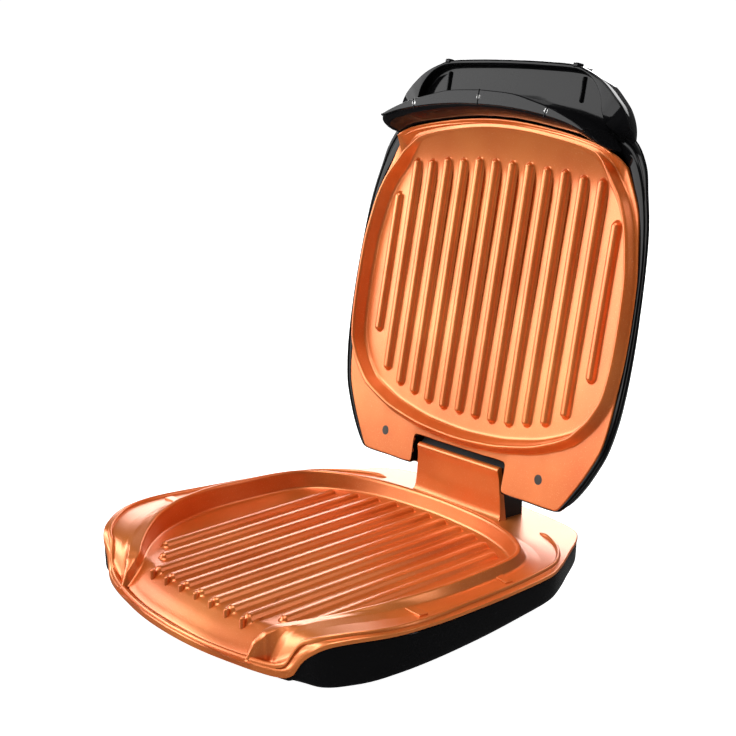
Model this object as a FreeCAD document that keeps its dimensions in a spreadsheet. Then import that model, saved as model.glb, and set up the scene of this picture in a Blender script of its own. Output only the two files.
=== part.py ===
import FreeCAD, Part
import math
import os
import re
import Sketcher
from FreeCAD import Placement, Rotation, Vector

# Countertop contact grill: a base with a ribbed plate that drains over its front lip, and a domed lid
# with a second ribbed plate. The lid turns on a pin that also rises in upright slots, so that thick food fits.
# X runs right along the hinge, Y to the back, Z up; the origin is on the worktop, under the grill's middle.
# Base pieces are drawn from the hinge axis in Y and from the worktop in Z. Lid pieces are drawn closed, about
# the hinge axis, and their Placement opens them.

doc = FreeCAD.newDocument("indoor_grill")
sheet = doc.addObject("Spreadsheet::Sheet", "Sizes")

# Driving dimensions in millimetres, with one angle in degrees
driving_sizes = {
    "hinge_behind_origin": 82.9,
    "hinge_height": 53.9,
    "lid_open_angle": 101.2,
    "overrun": 5.0,
    "base_half_width": 132.0,
    "base_length": 240.7,
    "base_rear_reach": 19.4,
    "front_cut_inset": 11.3,
    "housing_wall": 2.8,
    "housing_inset": 1.6,
    "underside_height": 17.0,
    "cover_wall": 2.0,
    "cover_inset": 0.8,
    "casting_wall": 3.6,
    "flange_height": 33.0,
    "fence_side_gap": 23.0,
    "lip_reach": 4.8,
    "fence_ahead": 26.0,
    "fence_height": 40.4,
    "fence_wall": 2.4,
    "fence_draft": 3.0,
    "fence_root_depth": 12.0,
    "floor_height": 30.6,
    "floor_fall": 10.1,
    "floor_end_gap": 13.5,
    "floor_wall": 4.0,
    "lip_floor_height": 6.0,
    "floor_turn_share": 0.63,
    "rib_pitch": 15.0,
    "rib_width": 6.4,
    "rib_rise": 2.8,
    "rib_draft": 1.0,
    "knob_radius": 2.6,
    "knob_rise": 0.8,
    "bead_inset": 2.6,
    "bead_width": 2.4,
    "bead_rise": 1.9,
    "bead_gap_half_width": 70.8,
    "lug_width": 5.0,
    "lug_length": 10.0,
    "lug_height": 34.6,
    "front_lug_side_gap": 20.0,
    "front_lug_share": 0.687,
    "rear_lug_side_gap": 26.5,
    "rear_lug_share": 0.417,
    "shroud_half_width": 36.2,
    "shroud_foot_half_width": 39.2,
    "shroud_height": 65.4,
    "shroud_ahead": 10.6,
    "shroud_wall": 2.6,
    "shroud_corner": 3.4,
    "tower_half_width": 38.0,
    "tower_front": 7.4,
    "tower_back": 8.0,
    "tower_top_height": 67.5,
    "tower_seat_height": 19.5,
    "tower_chamfer": 3.0,
    "tower_wall": 2.2,
    "tower_clearance": 0.6,
    "tower_boss_half_span": 22.0,
    "tower_boss_height": 34.0,
    "slot_clearance": 0.15,
    "float_travel": 8.0,
    "pin_radius": 3.0,
    "pin_half_length": 49.0,
    "pin_clearance": 0.05,
    "bush_radius": 4.6,
    "bush_length": 8.4,
    "bush_inset": 41.0,
    "ear_radius": 6.8,
    "ear_end": 53.0,
    "post_radius": 4.5,
    "front_post_side_gap": 19.0,
    "front_post_share": 0.7453,
    "rear_post_side_gap": 21.0,
    "rear_post_share": 0.3548,
    "screw_head_radius": 3.0,
    "screw_head_height": 1.8,
    "screw_shank_radius": 1.5,
    "screw_length": 11.0,
    "front_screw_seat": 9.5,
    "rear_screw_seat": 15.2,
    "tower_screw_seat": 16.6,
    "seat_rim": 0.9,
    "foot_radius": 8.2,
    "foot_edge": 1.8,
    "foot_peg_radius": 2.4,
    "foot_peg_length": 2.4,
    "front_foot_height": 4.4,
    "front_foot_side_gap": 38.0,
    "front_foot_share": 0.7952,
    "rear_foot_height": 12.5,
    "rear_foot_side_gap": 53.0,
    "rear_foot_share": 0.2302,
    "gland_radius": 4.0,
    "gland_bore_radius": 3.0,
    "gland_flange_radius": 5.2,
    "gland_flange_length": 3.0,
    "gland_length": 16.0,
    "gland_side": 58.0,
    "gland_height": 24.2,
    "gland_outer_face": 15.2,
    "block_side": 46.0,
    "block_length": 26.0,
    "block_width": 10.0,
    "block_front": 8.0,
    "block_height": 5.0,
    "block_hole_radius": 1.6,
    "block_hole_pitch": 8.0,
    "element_radius": 2.5,
    "element_side_gap": 53.0,
    "element_tail": 26.0,
    "element_end_gap": 52.5,
    "clip_length": 14.0,
    "clip_width": 8.0,
    "clip_wall": 0.8,
    "shield_wall": 0.6,
    "shield_side_gap": 33.0,
    "shield_start": 32.0,
    "shield_end_gap": 58.5,
    "shield_slot_width": 6.0,
    "shield_slot_pitch": 40.0,
    "thermostat_radius": 7.0,
    "thermostat_height": 4.4,
    "thermostat_inset": 18.0,
    "fuse_radius": 2.0,
    "fuse_length": 14.0,
    "fuse_lead_radius": 0.6,
    "fuse_lead_length": 9.0,
    "fuse_side": 20.0,
    "lid_side_gap": 8.5,
    "lid_end_gap": 15.7,
    "lid_rear_reach": 4.9,
    "plate_drop": 13.2,
    "dome_height": 36.0,
    "lid_wall": 2.6,
    "recess_half_width": 40.6,
    "recess_depth": 24.0,
    "notch_depth": 17.7,
    "seat_gap": 0.3,
    "plate_edge_gap": 6.0,
    "upper_fence_side_gap": 9.5,
    "upper_fence_inset": 24.6,
    "upper_fence_end_gap": 12.5,
    "upper_fence_proud": 5.5,
    "upper_fence_run": 3.5,
    "upper_fence_wall": 0.8,
    "upper_floor_depth": 3.0,
    "front_flare": 11.6,
    "flare_end_gap": 37.0,
    "upper_rib_pitch": 14.5,
    "plate_screw_half_span": 69.6,
    "plate_screw_inset": 14.6,
    "handle_side_gap": 24.2,
    "handle_overlap": 30.0,
    "handle_length": 59.5,
    "handle_lip": 9.0,
    "handle_top": 30.0,
    "handle_ceiling": 2.0,
    "handle_wall": 2.8,
    "trim_side_gap": 42.7,
    "trim_wall": 1.6,
    "trim_rise": 2.0,
    "trim_depth": 12.0,
    "apron_side_gap": 12.3,
    "apron_tip_gap": 10.2,
    "apron_reach": 8.3,
    "apron_back_gap": 5.2,
    "apron_foot_reach": 0.8,
    "apron_step": 11.6,
    "apron_depth": 29.7,
    "apron_cover_wall": 2.0,
    "handle_screw_radius": 1.5,
    "handle_screw_head": 1.0,
    "handle_screw_length": 8.0,
    "side_screw_share": 0.651724,
    "handle_screw_reach": 3.9,
    "side_screw_set_back": 1.8,
    "lens_radius": 3.4,
    "lens_length": 7.0,
    "lens_side": 15.0,
    "lens_inset": 150.0,
    "lamp_radius": 2.4,
    "lamp_length": 6.0,
}
for row, (alias, value) in enumerate(driving_sizes.items(), start=1):
    sheet.set("A%d" % row, alias)
    sheet.set("B%d" % row, str(value))
    sheet.setAlias("B%d" % row, alias)
doc.recompute()

# Sizes that follow the driving ones: spans across, reaches ahead of the hinge and in from the lid's rear edge
following_sizes = {
    "base_reach": "base_length - base_rear_reach",
    "housing_front": "base_reach - front_cut_inset",
    "fence_half_width": "base_half_width - fence_side_gap",
    "fence_length": "base_reach - fence_ahead - lip_reach",
    "floor_length": "fence_length - floor_end_gap",
    "front_lug_half_span": "base_half_width - front_lug_side_gap",
    "front_lug_ahead": "base_length * front_lug_share - base_rear_reach",
    "rear_lug_half_span": "base_half_width - rear_lug_side_gap",
    "rear_lug_ahead": "base_length * rear_lug_share - base_rear_reach",
    "front_post_half_span": "base_half_width - front_post_side_gap",
    "front_post_ahead": "base_length * front_post_share - base_rear_reach",
    "rear_post_half_span": "base_half_width - rear_post_side_gap",
    "rear_post_ahead": "base_length * rear_post_share - base_rear_reach",
    "front_foot_half_span": "base_half_width - front_foot_side_gap",
    "front_foot_ahead": "base_length * front_foot_share - base_rear_reach",
    "rear_foot_half_span": "base_half_width - rear_foot_side_gap",
    "rear_foot_ahead": "base_length * rear_foot_share - base_rear_reach",
    "element_half_span": "fence_half_width - element_side_gap",
    "element_leg": "fence_length - element_tail - element_half_span - element_end_gap",
    "shield_half_width": "fence_half_width - shield_side_gap",
    "shield_length": "fence_length - shield_start - shield_end_gap",
    "lid_half_width": "base_half_width - lid_side_gap",
    "lid_length": "base_length - lid_end_gap",
    "upper_plate_half_width": "lid_half_width - plate_edge_gap",
    "upper_plate_length": "lid_length - plate_edge_gap",
    "upper_fence_half_width": "lid_half_width - upper_fence_side_gap",
    "upper_fence_length": "lid_length - upper_fence_inset - upper_fence_end_gap",
    "floor_turn_inset": "lid_length - flare_end_gap",
    "handle_half_width": "lid_half_width - handle_side_gap",
    "handle_start": "lid_length - handle_overlap",
    "trim_half_width": "handle_half_width - trim_side_gap",
    "apron_half_width": "handle_half_width - apron_side_gap",
    "apron_side_inset": "lid_length - apron_tip_gap",
    "apron_front": "lid_length + apron_reach",
    "apron_back_top": "lid_length - apron_back_gap",
    "apron_back_foot": "lid_length + apron_foot_reach",
    "handle_screw_side": "apron_half_width * side_screw_share",
    "handle_screw_inset": "lid_length + handle_screw_reach",
    "side_screw_inset": "lid_length - side_screw_set_back",
}


def spelled(formula):
    """The sum with each size that follows written out in the cells' names."""

    def written(word):
        name = word.group()
        return "(%s)" % spelled(following_sizes[name]) if name in following_sizes else name

    return re.sub(r"[a-z][a-z_]+", written, formula)


def size(formula):
    """Millimetres of a sum of named sizes."""
    return float(sheet.evalExpression(spelled(formula)))


def bind(thing, formulas):
    """Tie each property path of an object to a sum of cells."""
    for path, formula in formulas.items():
        thing.setExpression(path, re.sub(r"([a-z][a-z_]+)", r"Sizes.\1", spelled(formula)))


def base_place(across="0", along="0", up="0"):
    """Place in the base: across the hinge, along Y from the hinge axis and up from the worktop."""
    return Placement(Vector(size(across), size("hinge_behind_origin + " + along), size(up)), Rotation())


def floor_place(across="0", along="0", up="0"):
    """Place in the frame of the lower plate's sloping floor, from its rear end and its top face."""
    slope = Rotation(Vector(0, size("floor_length"), 0), Vector(0, size("floor_length"), size("floor_fall")))
    rear = base_place("0", "0 - fence_ahead", "floor_height")
    return Placement(rear.Base, slope) * Placement(Vector(size(across), size(along), size(up)), Rotation())


def lid_place(across="0", inset="lid_rear_reach", depth="0 - plate_drop"):
    """Place in the open lid: across, in from the flange's rear edge, and out of the plate's face."""
    hinge = base_place("0", "0", "hinge_height")
    opened = Placement(hinge.Base, Rotation(Vector(1, 0, 0), -size("lid_open_angle")))
    local = Vector(size(across), size("lid_rear_reach - (%s)" % inset), size("0 - plate_drop - (%s)" % depth))
    return opened * Placement(local, Rotation())


# Corners of the outlines, as shares of a half width and a length, from the back to the front
base_shares = [
    (0, 0), (0.44, 0.011), (0.66, 0.042), (0.78, 0.152), (0.907, 0.268), (0.97, 0.42), (1, 0.62), (1, 0.76),
    (0.95, 0.852), (0.83, 0.914), (0.63, 0.948), (0.3, 0.99), (0, 1),
]
fence_shares = [
    (0, 0), (0.42, 0.012), (0.71, 0.05), (0.9, 0.145), (0.977, 0.27), (1, 0.42), (1, 0.55), (0.945, 0.7),
    (0.82, 0.81), (0.6, 0.925), (0.54, 0.985), (0, 1),
]
rim_shares = [
    (0, 0), (0.66, 0), (0.755, 0.012), (0.905, 0.13), (0.985, 0.27), (1, 0.4), (1, 0.52), (0.962, 0.76),
    (0.9, 0.9), (0.8, 0.957), (0.58, 0.988), (0, 1),
]
upper_edge_shares = [
    (0, 0), (0.66, 0), (0.76, 0.012), (0.925, 0.14), (0.985, 0.27), (1, 0.4), (1, 0.55), (0.962, 0.76),
    (0.88, 0.87), (0.66, 0.955), (0.4, 0.988), (0, 1),
]
upper_fence_shares = [
    (0, 0), (0.38, 0.012), (0.7, 0.062), (0.895, 0.15), (0.98, 0.26), (1, 0.38), (1, 0.57), (0.955, 0.72),
    (0.86, 0.84), (0.66, 0.96), (0.35, 0.996), (0, 1),
]
handle_shares = [
    (0, 0), (0.8, 0), (0.975, 0.12), (1, 0.35), (0.93, 0.61), (0.73, 0.87), (0.54, 0.985), (0, 1),
]
finger_shares = [
    (0, 0.185), (0.85, 0.185), (0.95, 0.31), (0.81, 0.46), (0.765, 0.73), (0.61, 0.915), (0.4, 0.94), (0, 0.94),
]

# Corners of the side profiles, as shares of a length from the back and of a height
flange_shares = [
    (0, 1), (0.5, 0.972), (0.72, 0.935), (0.84, 0.85), (0.9, 0.72), (0.932, 0.3), (0.955, 0.245), (1, 0.224),
]
underside_shares = [(0, 1), (0.3, 0.94), (0.7, 0.645), (0.79, 0.52), (0.86, 0.275), (0.91, 0.18), (1, 0.165)]
crest_shares = [
    (0, 1), (0.4, 1), (0.57, 0.965), (0.73, 0.87), (0.92, 0.53), (0.945, 0.475), (0.985, 0.24), (1, 0.203),
]
flare_shares = [(0, 0), (0.868, 0), (0.92, 0.16), (1, 1)]
hood_shares = [(0, 1), (0.25, 0.95), (0.5, 0.8), (0.84, 0.42), (1, 0.06)]

# Rings of the dome from the rim to the crown: shares of its height, of the rim's size, and of the rear inset
dome_shares = [
    (0, 1, 0), (0.3, 0.94, 0.004), (0.606, 0.866, 0.022), (0.806, 0.785, 0.055), (0.931, 0.64, 0.116),
    (1, 0.28, 0.329),
]

# Rib ends on each side of the middle, as shares of the fence's length
lower_rib_shares = [(0.02, 0.934), (0.02, 0.934), (0.025, 0.934), (0.035, 0.934), (0.055, 0.83), (0.1, 0.78)]
upper_rib_shares = [
    (0.09, 0.892), (0.09, 0.892), (0.09, 0.882), (0.122, 0.884), (0.122, 0.867), (0.168, 0.868), (0.294, 0.745),
]
knob_count = 4


def outline(shares, half_width, length, start):
    """Closed list of points, mirrored about the middle, from its rear at Y = start."""
    wide = size(half_width)
    right = [Vector(wide * across, size(start) - size(length) * along, 0) for across, along in shares]
    left = [Vector(-point.x, point.y, 0) for point in reversed(right[1:-1])]
    return right + left


def grown(points, amount):
    """The outline moved out square to its sides, or in where the amount is negative."""
    moved = []
    for index, point in enumerate(points):
        before = (point - points[index - 1]).normalize()
        after = (points[(index + 1) % len(points)] - point).normalize()
        along = (before + after).normalize()
        outward = Vector(-along.y, along.x, 0)
        moved.append(point + outward * (amount / along.dot(after)))
    return moved


def rounded_edges(points, closed):
    """Lines joined by tangent arcs, each corner's arc as large as the shorter of its two sides allows."""
    tiny = FreeCAD.Base.Precision.confusion()
    pieces = []
    last = None if closed else points[0]
    first = last
    corners = range(len(points)) if closed else range(1, len(points) - 1)
    for index in corners:
        corner = points[index]
        back = points[index - 1] - corner
        ahead = points[(index + 1) % len(points)] - corner
        reach = min(back.Length, ahead.Length) / 2
        start = corner + back.normalize() * reach
        end = corner + ahead.normalize() * reach
        if last is None:
            first = start
        elif (start - last).Length > tiny:
            pieces.append(Part.LineSegment(last, start).toShape())
        bisector = back + ahead
        half_turn = bisector.Length / 2
        if reach * half_turn > tiny:
            radius = reach * math.sqrt(1 - half_turn * half_turn) / half_turn
            depth = radius * (1 / math.sqrt(1 - half_turn * half_turn) - 1)
            pieces.append(Part.Arc(start, corner + bisector.normalize() * depth, end).toShape())
        else:
            pieces.append(Part.LineSegment(start, end).toShape())
        last = end
    finish = first if closed else points[-1]
    if (finish - last).Length > tiny:
        pieces.append(Part.LineSegment(last, finish).toShape())
    return pieces


def outward(solid):
    """The solid with its faces turned out."""
    if solid.Volume < 0:
        solid.reverse()
    return solid


def ring(points, height):
    """Closed wire of the outline at a height."""
    return Part.Wire(rounded_edges([Vector(point.x, point.y, height) for point in points], True))


def prism(points, bottom, top):
    """Upright solid of an outline."""
    return outward(Part.Face(ring(points, bottom)).extrude(Vector(0, 0, top - bottom)))


def funnel(low_points, bottom, high_points, top):
    """Solid between two outlines with the same number of points."""
    return outward(Part.makeLoft([ring(low_points, bottom), ring(high_points, top)], True, True))


def profile(shares, length, height, start, rise="0"):
    """Side profile from the back to the front, running on past both ends."""
    rear = size(start)
    low = size(rise)
    points = [Vector(0, rear - size(length) * along, low + size(height) * up) for along, up in shares]
    first = points[0] + (points[0] - points[1]).normalize() * size("overrun")
    last = points[-1] + (points[-1] - points[-2]).normalize() * size("overrun")
    return [first] + points + [last]


def raised(points, amount):
    """The side profile moved up square to its lines, or down where the amount is negative."""
    moved = []
    for index, point in enumerate(points):
        before = (point - points[max(index - 1, 0)]) if index else points[1] - points[0]
        after = (points[index + 1] - point) if index + 1 < len(points) else before
        along = (before.normalize() + after.normalize()).normalize()
        moved.append(point + Vector(0, along.z, -along.y) * (amount / along.dot(after)))
    return moved


def side_edges(points, smooth=False):
    """Edges of a side profile."""
    if smooth:
        return rounded_edges(points, False)
    return [Part.LineSegment(start, end).toShape() for start, end in zip(points, points[1:])]


def sheet_between(upper, lower):
    """Solid between two side profiles, across the whole width."""
    edges = side_edges(upper) + side_edges(lower)
    edges.append(Part.LineSegment(upper[0], lower[0]).toShape())
    edges.append(Part.LineSegment(upper[-1], lower[-1]).toShape())
    return widened(edges)


def region(points, level, smooth=False):
    """Everything between a side profile and a level, across the whole width."""
    edges = side_edges(points, smooth)
    first = Vector(0, points[0].y, level)
    last = Vector(0, points[-1].y, level)
    edges.append(Part.LineSegment(points[0], first).toShape())
    edges.append(Part.LineSegment(points[-1], last).toShape())
    edges.append(Part.LineSegment(first, last).toShape())
    return widened(edges)


def widened(edges):
    """Solid of a face in the middle plane, across the whole width."""
    face = Part.Face(Part.Wire(Part.__sortEdges__(edges)))
    face.translate(Vector(-size("base_length"), 0, 0))
    return outward(face.extrude(Vector(2 * size("base_length"), 0, 0)))


def block(left, front, bottom, right, back, top):
    """Box between two corners."""
    return Part.makeBox(right - left, back - front, top - bottom, Vector(left, front, bottom))


def peg(radius, across, along, bottom, top):
    """Upright cylinder."""
    return Part.makeCylinder(radius, top - bottom, Vector(across, along, bottom))


def slot_ring(half_width, front, rear, height):
    """Wire of a bar with round ends, along Y."""
    start = front + half_width
    end = rear - half_width
    right = Vector(half_width, 0, 0)
    corner = Vector(0, start, height)
    far_corner = Vector(0, end, height)
    edges = [
        Part.LineSegment(corner + right, far_corner + right).toShape(),
        Part.Arc(far_corner + right, far_corner + Vector(0, half_width, 0), far_corner - right).toShape(),
        Part.LineSegment(far_corner - right, corner - right).toShape(),
        Part.Arc(corner - right, corner - Vector(0, half_width, 0), corner + right).toShape(),
    ]
    return Part.Wire(edges)


def rib(front, rear):
    """Drafted rib with round ends, along Y, rooted one rise below the face that it stands on."""
    foot = size("rib_width / 2")
    rise = size("rib_rise")
    draft = size("rib_draft")
    low = slot_ring(foot + draft, front - draft, rear + draft, -rise)
    high = slot_ring(foot - draft, front + draft, rear - draft, rise)
    return outward(Part.makeLoft([low, high], True, True))


def feature(name, shape, place):
    """Named sub-part whose shape is made here."""
    part = doc.addObject("Part::Feature", name)
    part.Label = name
    merged = shape.removeSplitter()
    part.Shape = merged if merged.isValid() else shape
    part.Placement = place
    return part


nodes = []
far = size("base_length")
both_sides = (1, -1)

# Outline and side profiles that several base pieces share
base_outline = outline(base_shares, "base_half_width", "base_length", "base_rear_reach")
flange_line = profile(flange_shares, "base_length", "flange_height", "base_rear_reach")
cover_bottom_line = profile(underside_shares, "base_length", "underside_height", "base_rear_reach")
cover_top_line = raised(cover_bottom_line, size("cover_wall"))
above_cover = region(cover_top_line, far)
under_flange = region(raised(flange_line, -size("casting_wall")), -far)

post_places = [
    (side * size(span), -size(ahead), size(seat))
    for side in both_sides
    for span, ahead, seat in (
        ("front_post_half_span", "front_post_ahead", "front_screw_seat"),
        ("rear_post_half_span", "rear_post_ahead", "rear_screw_seat"),
    )
]
foot_places = {
    "foot_front_right": ("front_foot_half_span", "0 - front_foot_ahead", "front_foot_height"),
    "foot_front_left": ("0 - front_foot_half_span", "0 - front_foot_ahead", "front_foot_height"),
    "foot_rear_right": ("rear_foot_half_span", "0 - rear_foot_ahead", "rear_foot_height"),
    "foot_rear_left": ("0 - rear_foot_half_span", "0 - rear_foot_ahead", "rear_foot_height"),
}


def base_slab(inset, bottom, top):
    """Upright solid of the base's outline, drawn in by an inset and cut square behind the drip lip."""
    slab = prism(grown(base_outline, -inset), bottom, top)
    return slab.common(block(-far, inset - size("housing_front"), -far, far, far, far))


def base_housing():
    """Wall of the base, trapped between the plate's flange and the bottom cover."""
    inset = size("housing_inset")
    wall = base_slab(inset, 0, size("flange_height"))
    wall = wall.cut(base_slab(inset + size("housing_wall"), -far, far))
    wall = wall.common(above_cover).common(under_flange)
    opening = Part.makeCylinder(
        size("gland_radius"),
        size("gland_length + overrun"),
        Vector(size("gland_side"), size("gland_outer_face + overrun"), size("gland_height")),
        Vector(0, -1, 0),
    )
    nodes.append(feature("base_housing", wall.cut(opening), base_place()))


def bottom_cover():
    """Curved bottom with seats for the feet, the screws, the tower and the terminal block."""
    plate = base_slab(size("housing_inset + cover_inset"), 0, size("flange_height"))
    plate = plate.common(sheet_between(cover_top_line, cover_bottom_line))
    seats = [
        block(
            -size("tower_half_width + tower_wall"),
            -size("tower_front + tower_clearance"),
            size("tower_seat_height - cover_wall"),
            size("tower_half_width + tower_wall"),
            size("tower_back"),
            size("tower_seat_height"),
        ),
        block(
            size("block_side"),
            -size("block_front"),
            size("tower_seat_height - cover_wall"),
            size("block_side + block_length"),
            size("block_width - block_front"),
            size("tower_seat_height"),
        ),
    ]
    below_cover_top = region(cover_top_line, -far)
    holes = []
    for across, along, height in foot_places.values():
        boss = peg(size("foot_radius + seat_rim"), size(across), size(along), size(height), far)
        seats.append(boss.common(below_cover_top))
        top = size(height + " + foot_peg_length")
        holes.append(peg(size("foot_peg_radius"), size(across), size(along), 0, top))
    for across, along, seat in post_places:
        holes.append(peg(size("screw_shank_radius"), across, along, 0, far))
    for side in both_sides:
        holes.append(peg(size("screw_shank_radius"), side * size("tower_boss_half_span"), 0, 0, far))
    nodes.append(feature("bottom_cover", plate.fuse(seats).cut(holes), base_place()))


def lower_grill_plate():
    """Casting: flange with a bead and a drip lip, ribbed sloping floor in a fence, lugs, posts and shroud."""
    whole = prism(base_outline, 0, far)
    flange = whole.common(sheet_between(flange_line, raised(flange_line, -size("casting_wall"))))

    fence_points = outline(fence_shares, "fence_half_width", "fence_length", "0 - fence_ahead")
    half_wall = size("fence_wall / 2")
    root_height = size("fence_height - fence_root_depth")
    lean = size("fence_draft / fence_root_depth")
    root = grown(fence_points, half_wall + size("fence_draft"))
    top = grown(fence_points, half_wall - lean * size("overrun"))
    body = funnel(root, root_height, top, size("fence_height + overrun")).fuse(prism(root, 0, root_height))
    crest_line = profile(crest_shares, "fence_length", "fence_height", "0 - fence_ahead")
    body = body.common(region(crest_line, -far)).common(whole)

    floor_rear = Vector(0, -size("fence_ahead"), size("floor_height"))
    downhill = Vector(0, -size("floor_length"), -size("floor_fall"))
    floor_line = [floor_rear - downhill, floor_rear + downhill + downhill]
    below = raised(floor_line, -size("floor_wall"))
    lip = Vector(0, -size("fence_ahead + fence_length"), size("lip_floor_height"))
    turn = below[0] + (below[1] - below[0]) * size("floor_turn_share")
    before_lip = lip + Vector(0, size("fence_root_depth"), 0)
    past_lip = lip - Vector(0, size("overrun"), 0)
    body = body.common(region([below[0], turn, before_lip, lip, past_lip], far))
    well = prism(grown(fence_points, -half_wall), 0, far).common(region(floor_line, far))

    bead_line = raised(flange_line, size("bead_rise"))
    bead = prism(grown(base_outline, -size("bead_inset")), 0, far)
    bead = bead.cut(prism(grown(base_outline, -size("bead_inset + bead_width")), -far, far))
    bead = bead.common(sheet_between(bead_line, raised(flange_line, -size("bead_rise"))))
    bead_gap = size("bead_gap_half_width")
    bead = bead.cut(block(-bead_gap, -size("fence_ahead"), 0, bead_gap, far, far))

    extras = [bead]
    for side in both_sides:
        for pair in ("front", "rear"):
            inner = side * size(pair + "_lug_half_span")
            outer = side * size(pair + "_lug_half_span + lug_length")
            front = -size(pair + "_lug_ahead")
            back = front + size("lug_width")
            lug = block(min(inner, outer), front, root_height, max(inner, outer), back, size("lug_height"))
            extras.append(lug)
    for across, along, seat in post_places:
        extras.append(peg(size("post_radius"), across, along, 0, far).common(above_cover).common(under_flange))
    plate = flange.fuse([body] + extras).cut(well)

    ribs = []
    slope = Placement(floor_rear, Rotation(Vector(0, 1, 0), -downhill))
    for index, (rear, front) in enumerate(lower_rib_shares):
        for side in both_sides if index else (1,):
            bar = rib(-size("fence_length") * front, -size("fence_length") * rear)
            if index < knob_count:
                knob = Part.makeCone(size("knob_radius"), size("knob_radius / 2"), size("knob_rise"))
                tip = size("rib_width / 2") - size("fence_length") * front
                knob.translate(Vector(0, tip, size("rib_rise")))
                bar = bar.fuse(knob)
            bar.translate(Vector(side * index * size("rib_pitch"), 0, 0))
            ribs.append(bar.transformed(slope.toMatrix()))
    plate = plate.fuse(ribs)

    half_top = size("shroud_half_width")
    half_foot = size("shroud_foot_half_width")
    corner = size("shroud_corner")
    edge_radius = size("shroud_wall / 2")
    high = size("shroud_height") - edge_radius
    low = size("flange_height - casting_wall / 2")
    face = [
        (half_foot, low), (half_top, high - corner), (half_top - corner, high),
        (corner - half_top, high), (-half_top, high - corner), (-half_foot, low),
    ]
    corners = [Vector(across, -size("shroud_ahead"), up) for across, up in face]
    front_face = Part.Face(Part.makePolygon(corners + corners[:1]))
    shroud = front_face.extrude(Vector(0, size("shroud_wall"), 0))
    rolled_start = Vector(corner - half_top, edge_radius - size("shroud_ahead"), high)
    rolled = Part.makeCylinder(edge_radius, 2 * (half_top - corner), rolled_start, Vector(1, 0, 0))
    gap = size("tower_clearance")
    opening = block(
        -size("tower_half_width") - gap,
        -size("tower_front") - gap,
        0,
        size("tower_half_width") + gap,
        size("tower_back") + gap,
        far,
    )
    plate = plate.fuse([shroud, rolled]).cut(opening)
    threads = [
        peg(size("screw_shank_radius"), across, along, 0, seat + size("screw_length"))
        for across, along, seat in post_places
    ]
    nodes.append(feature("lower_grill_plate", plate.cut(threads), base_place()))


def lid_outline(shares, half_width, length, inset="0"):
    """Outline in the closed lid, from the flange's rear edge."""
    return outline(shares, half_width, length, "lid_rear_reach - (%s)" % inset)


def dome(inset, mouth="0"):
    """Dome of the lid, smaller all round by an inset, from a mouth level to its crown."""
    rim = lid_outline(rim_shares, "lid_half_width", "lid_length")
    rear = size("lid_rear_reach")
    fit = 1 - inset / size("lid_half_width")
    middle = rear - size("lid_length / 2")
    wires = []
    if size(mouth):
        low = [Vector(point.x * fit, middle + (point.y - middle) * fit, 0) for point in rim]
        wires.append(ring(low, lid_level(mouth)))
    for up, share, back in dome_shares:
        points = []
        for point in rim:
            along = rear - size("lid_length") * back + (point.y - rear) * share
            points.append(Vector(point.x * share * fit, middle + (along - middle) * fit, 0))
        wires.append(ring(points, lid_level("0") + (size("dome_height") - inset) * up))
    return outward(Part.makeLoft(wires, True, True))


def lid_level(depth):
    """Height in the closed lid of a depth out of the plate's face."""
    return -size("plate_drop") - size(depth)


def lid_line(shares, length, depth, inset="0"):
    """Side profile in the closed lid."""
    return profile(shares, length, "0 - (%s)" % depth, "lid_rear_reach - (%s)" % inset, "0 - plate_drop")


lid_post_places = [
    (side * size("plate_screw_half_span"), size("lid_rear_reach - plate_screw_inset")) for side in both_sides
]
upper_edge = lid_outline(upper_edge_shares, "upper_plate_half_width", "upper_plate_length")
upper_crest = lid_outline(
    upper_fence_shares, "upper_fence_half_width", "upper_fence_length", "upper_fence_inset"
)


def lid_housing():
    """Dome with a rim, a recess for the hinge tower, two hinge ears and posts for the plate's screws."""
    outer = dome(0)
    inner = dome(size("lid_wall"), "overrun")
    rim = outer.common(block(-far, -far, lid_level("0"), far, far, lid_level("0 - lid_wall")))
    rim = rim.cut(prism(grown(upper_edge, size("seat_gap")), -far, far))
    half = size("recess_half_width")
    wall = size("lid_wall")
    front = size("lid_rear_reach - recess_depth")
    low = lid_level("0")
    pocket = block(-half, front, -far, half, far, far)
    pocket_walls = block(-half - wall, front - wall, low, half + wall, far, far).common(outer)
    pocket_walls = pocket_walls.cut(block(-far, -far, low, far, far, lid_level("0 - casting_wall")))
    floor_back = lid_level("0 - upper_floor_depth - floor_wall - seat_gap")
    around_plate = grown(upper_crest, size("upper_fence_run + seat_gap"))
    pocket_walls = pocket_walls.cut(prism(around_plate, low, floor_back))
    extras = [rim, pocket_walls]
    cuts = [prism(grown(upper_edge, size("seat_gap")), -far, lid_level("0 - casting_wall")), pocket]
    for side in both_sides:
        start = Vector(side * half, 0, 0)
        out = Vector(side, 0, 0)
        extras.append(Part.makeCylinder(size("ear_radius"), size("ear_end") - half, start, out))
        cuts.append(Part.makeCylinder(size("bush_radius"), size("bush_inset + bush_length"), Vector(), out))
    plate_back = lid_level("0 - casting_wall")
    for across, along in lid_post_places:
        extras.append(peg(size("post_radius"), across, along, plate_back, far).common(outer))
        cuts.append(peg(size("screw_shank_radius"), across, along, -far, plate_back + size("screw_length")))
    lens_along = size("lid_rear_reach - lens_inset")
    for side in both_sides:
        cuts.append(peg(size("lens_radius"), side * size("lens_side"), lens_along, 0, far))
    nodes.append(feature("lid_housing", outer.cut(inner).fuse(extras).cut(cuts), lid_place()))


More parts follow.
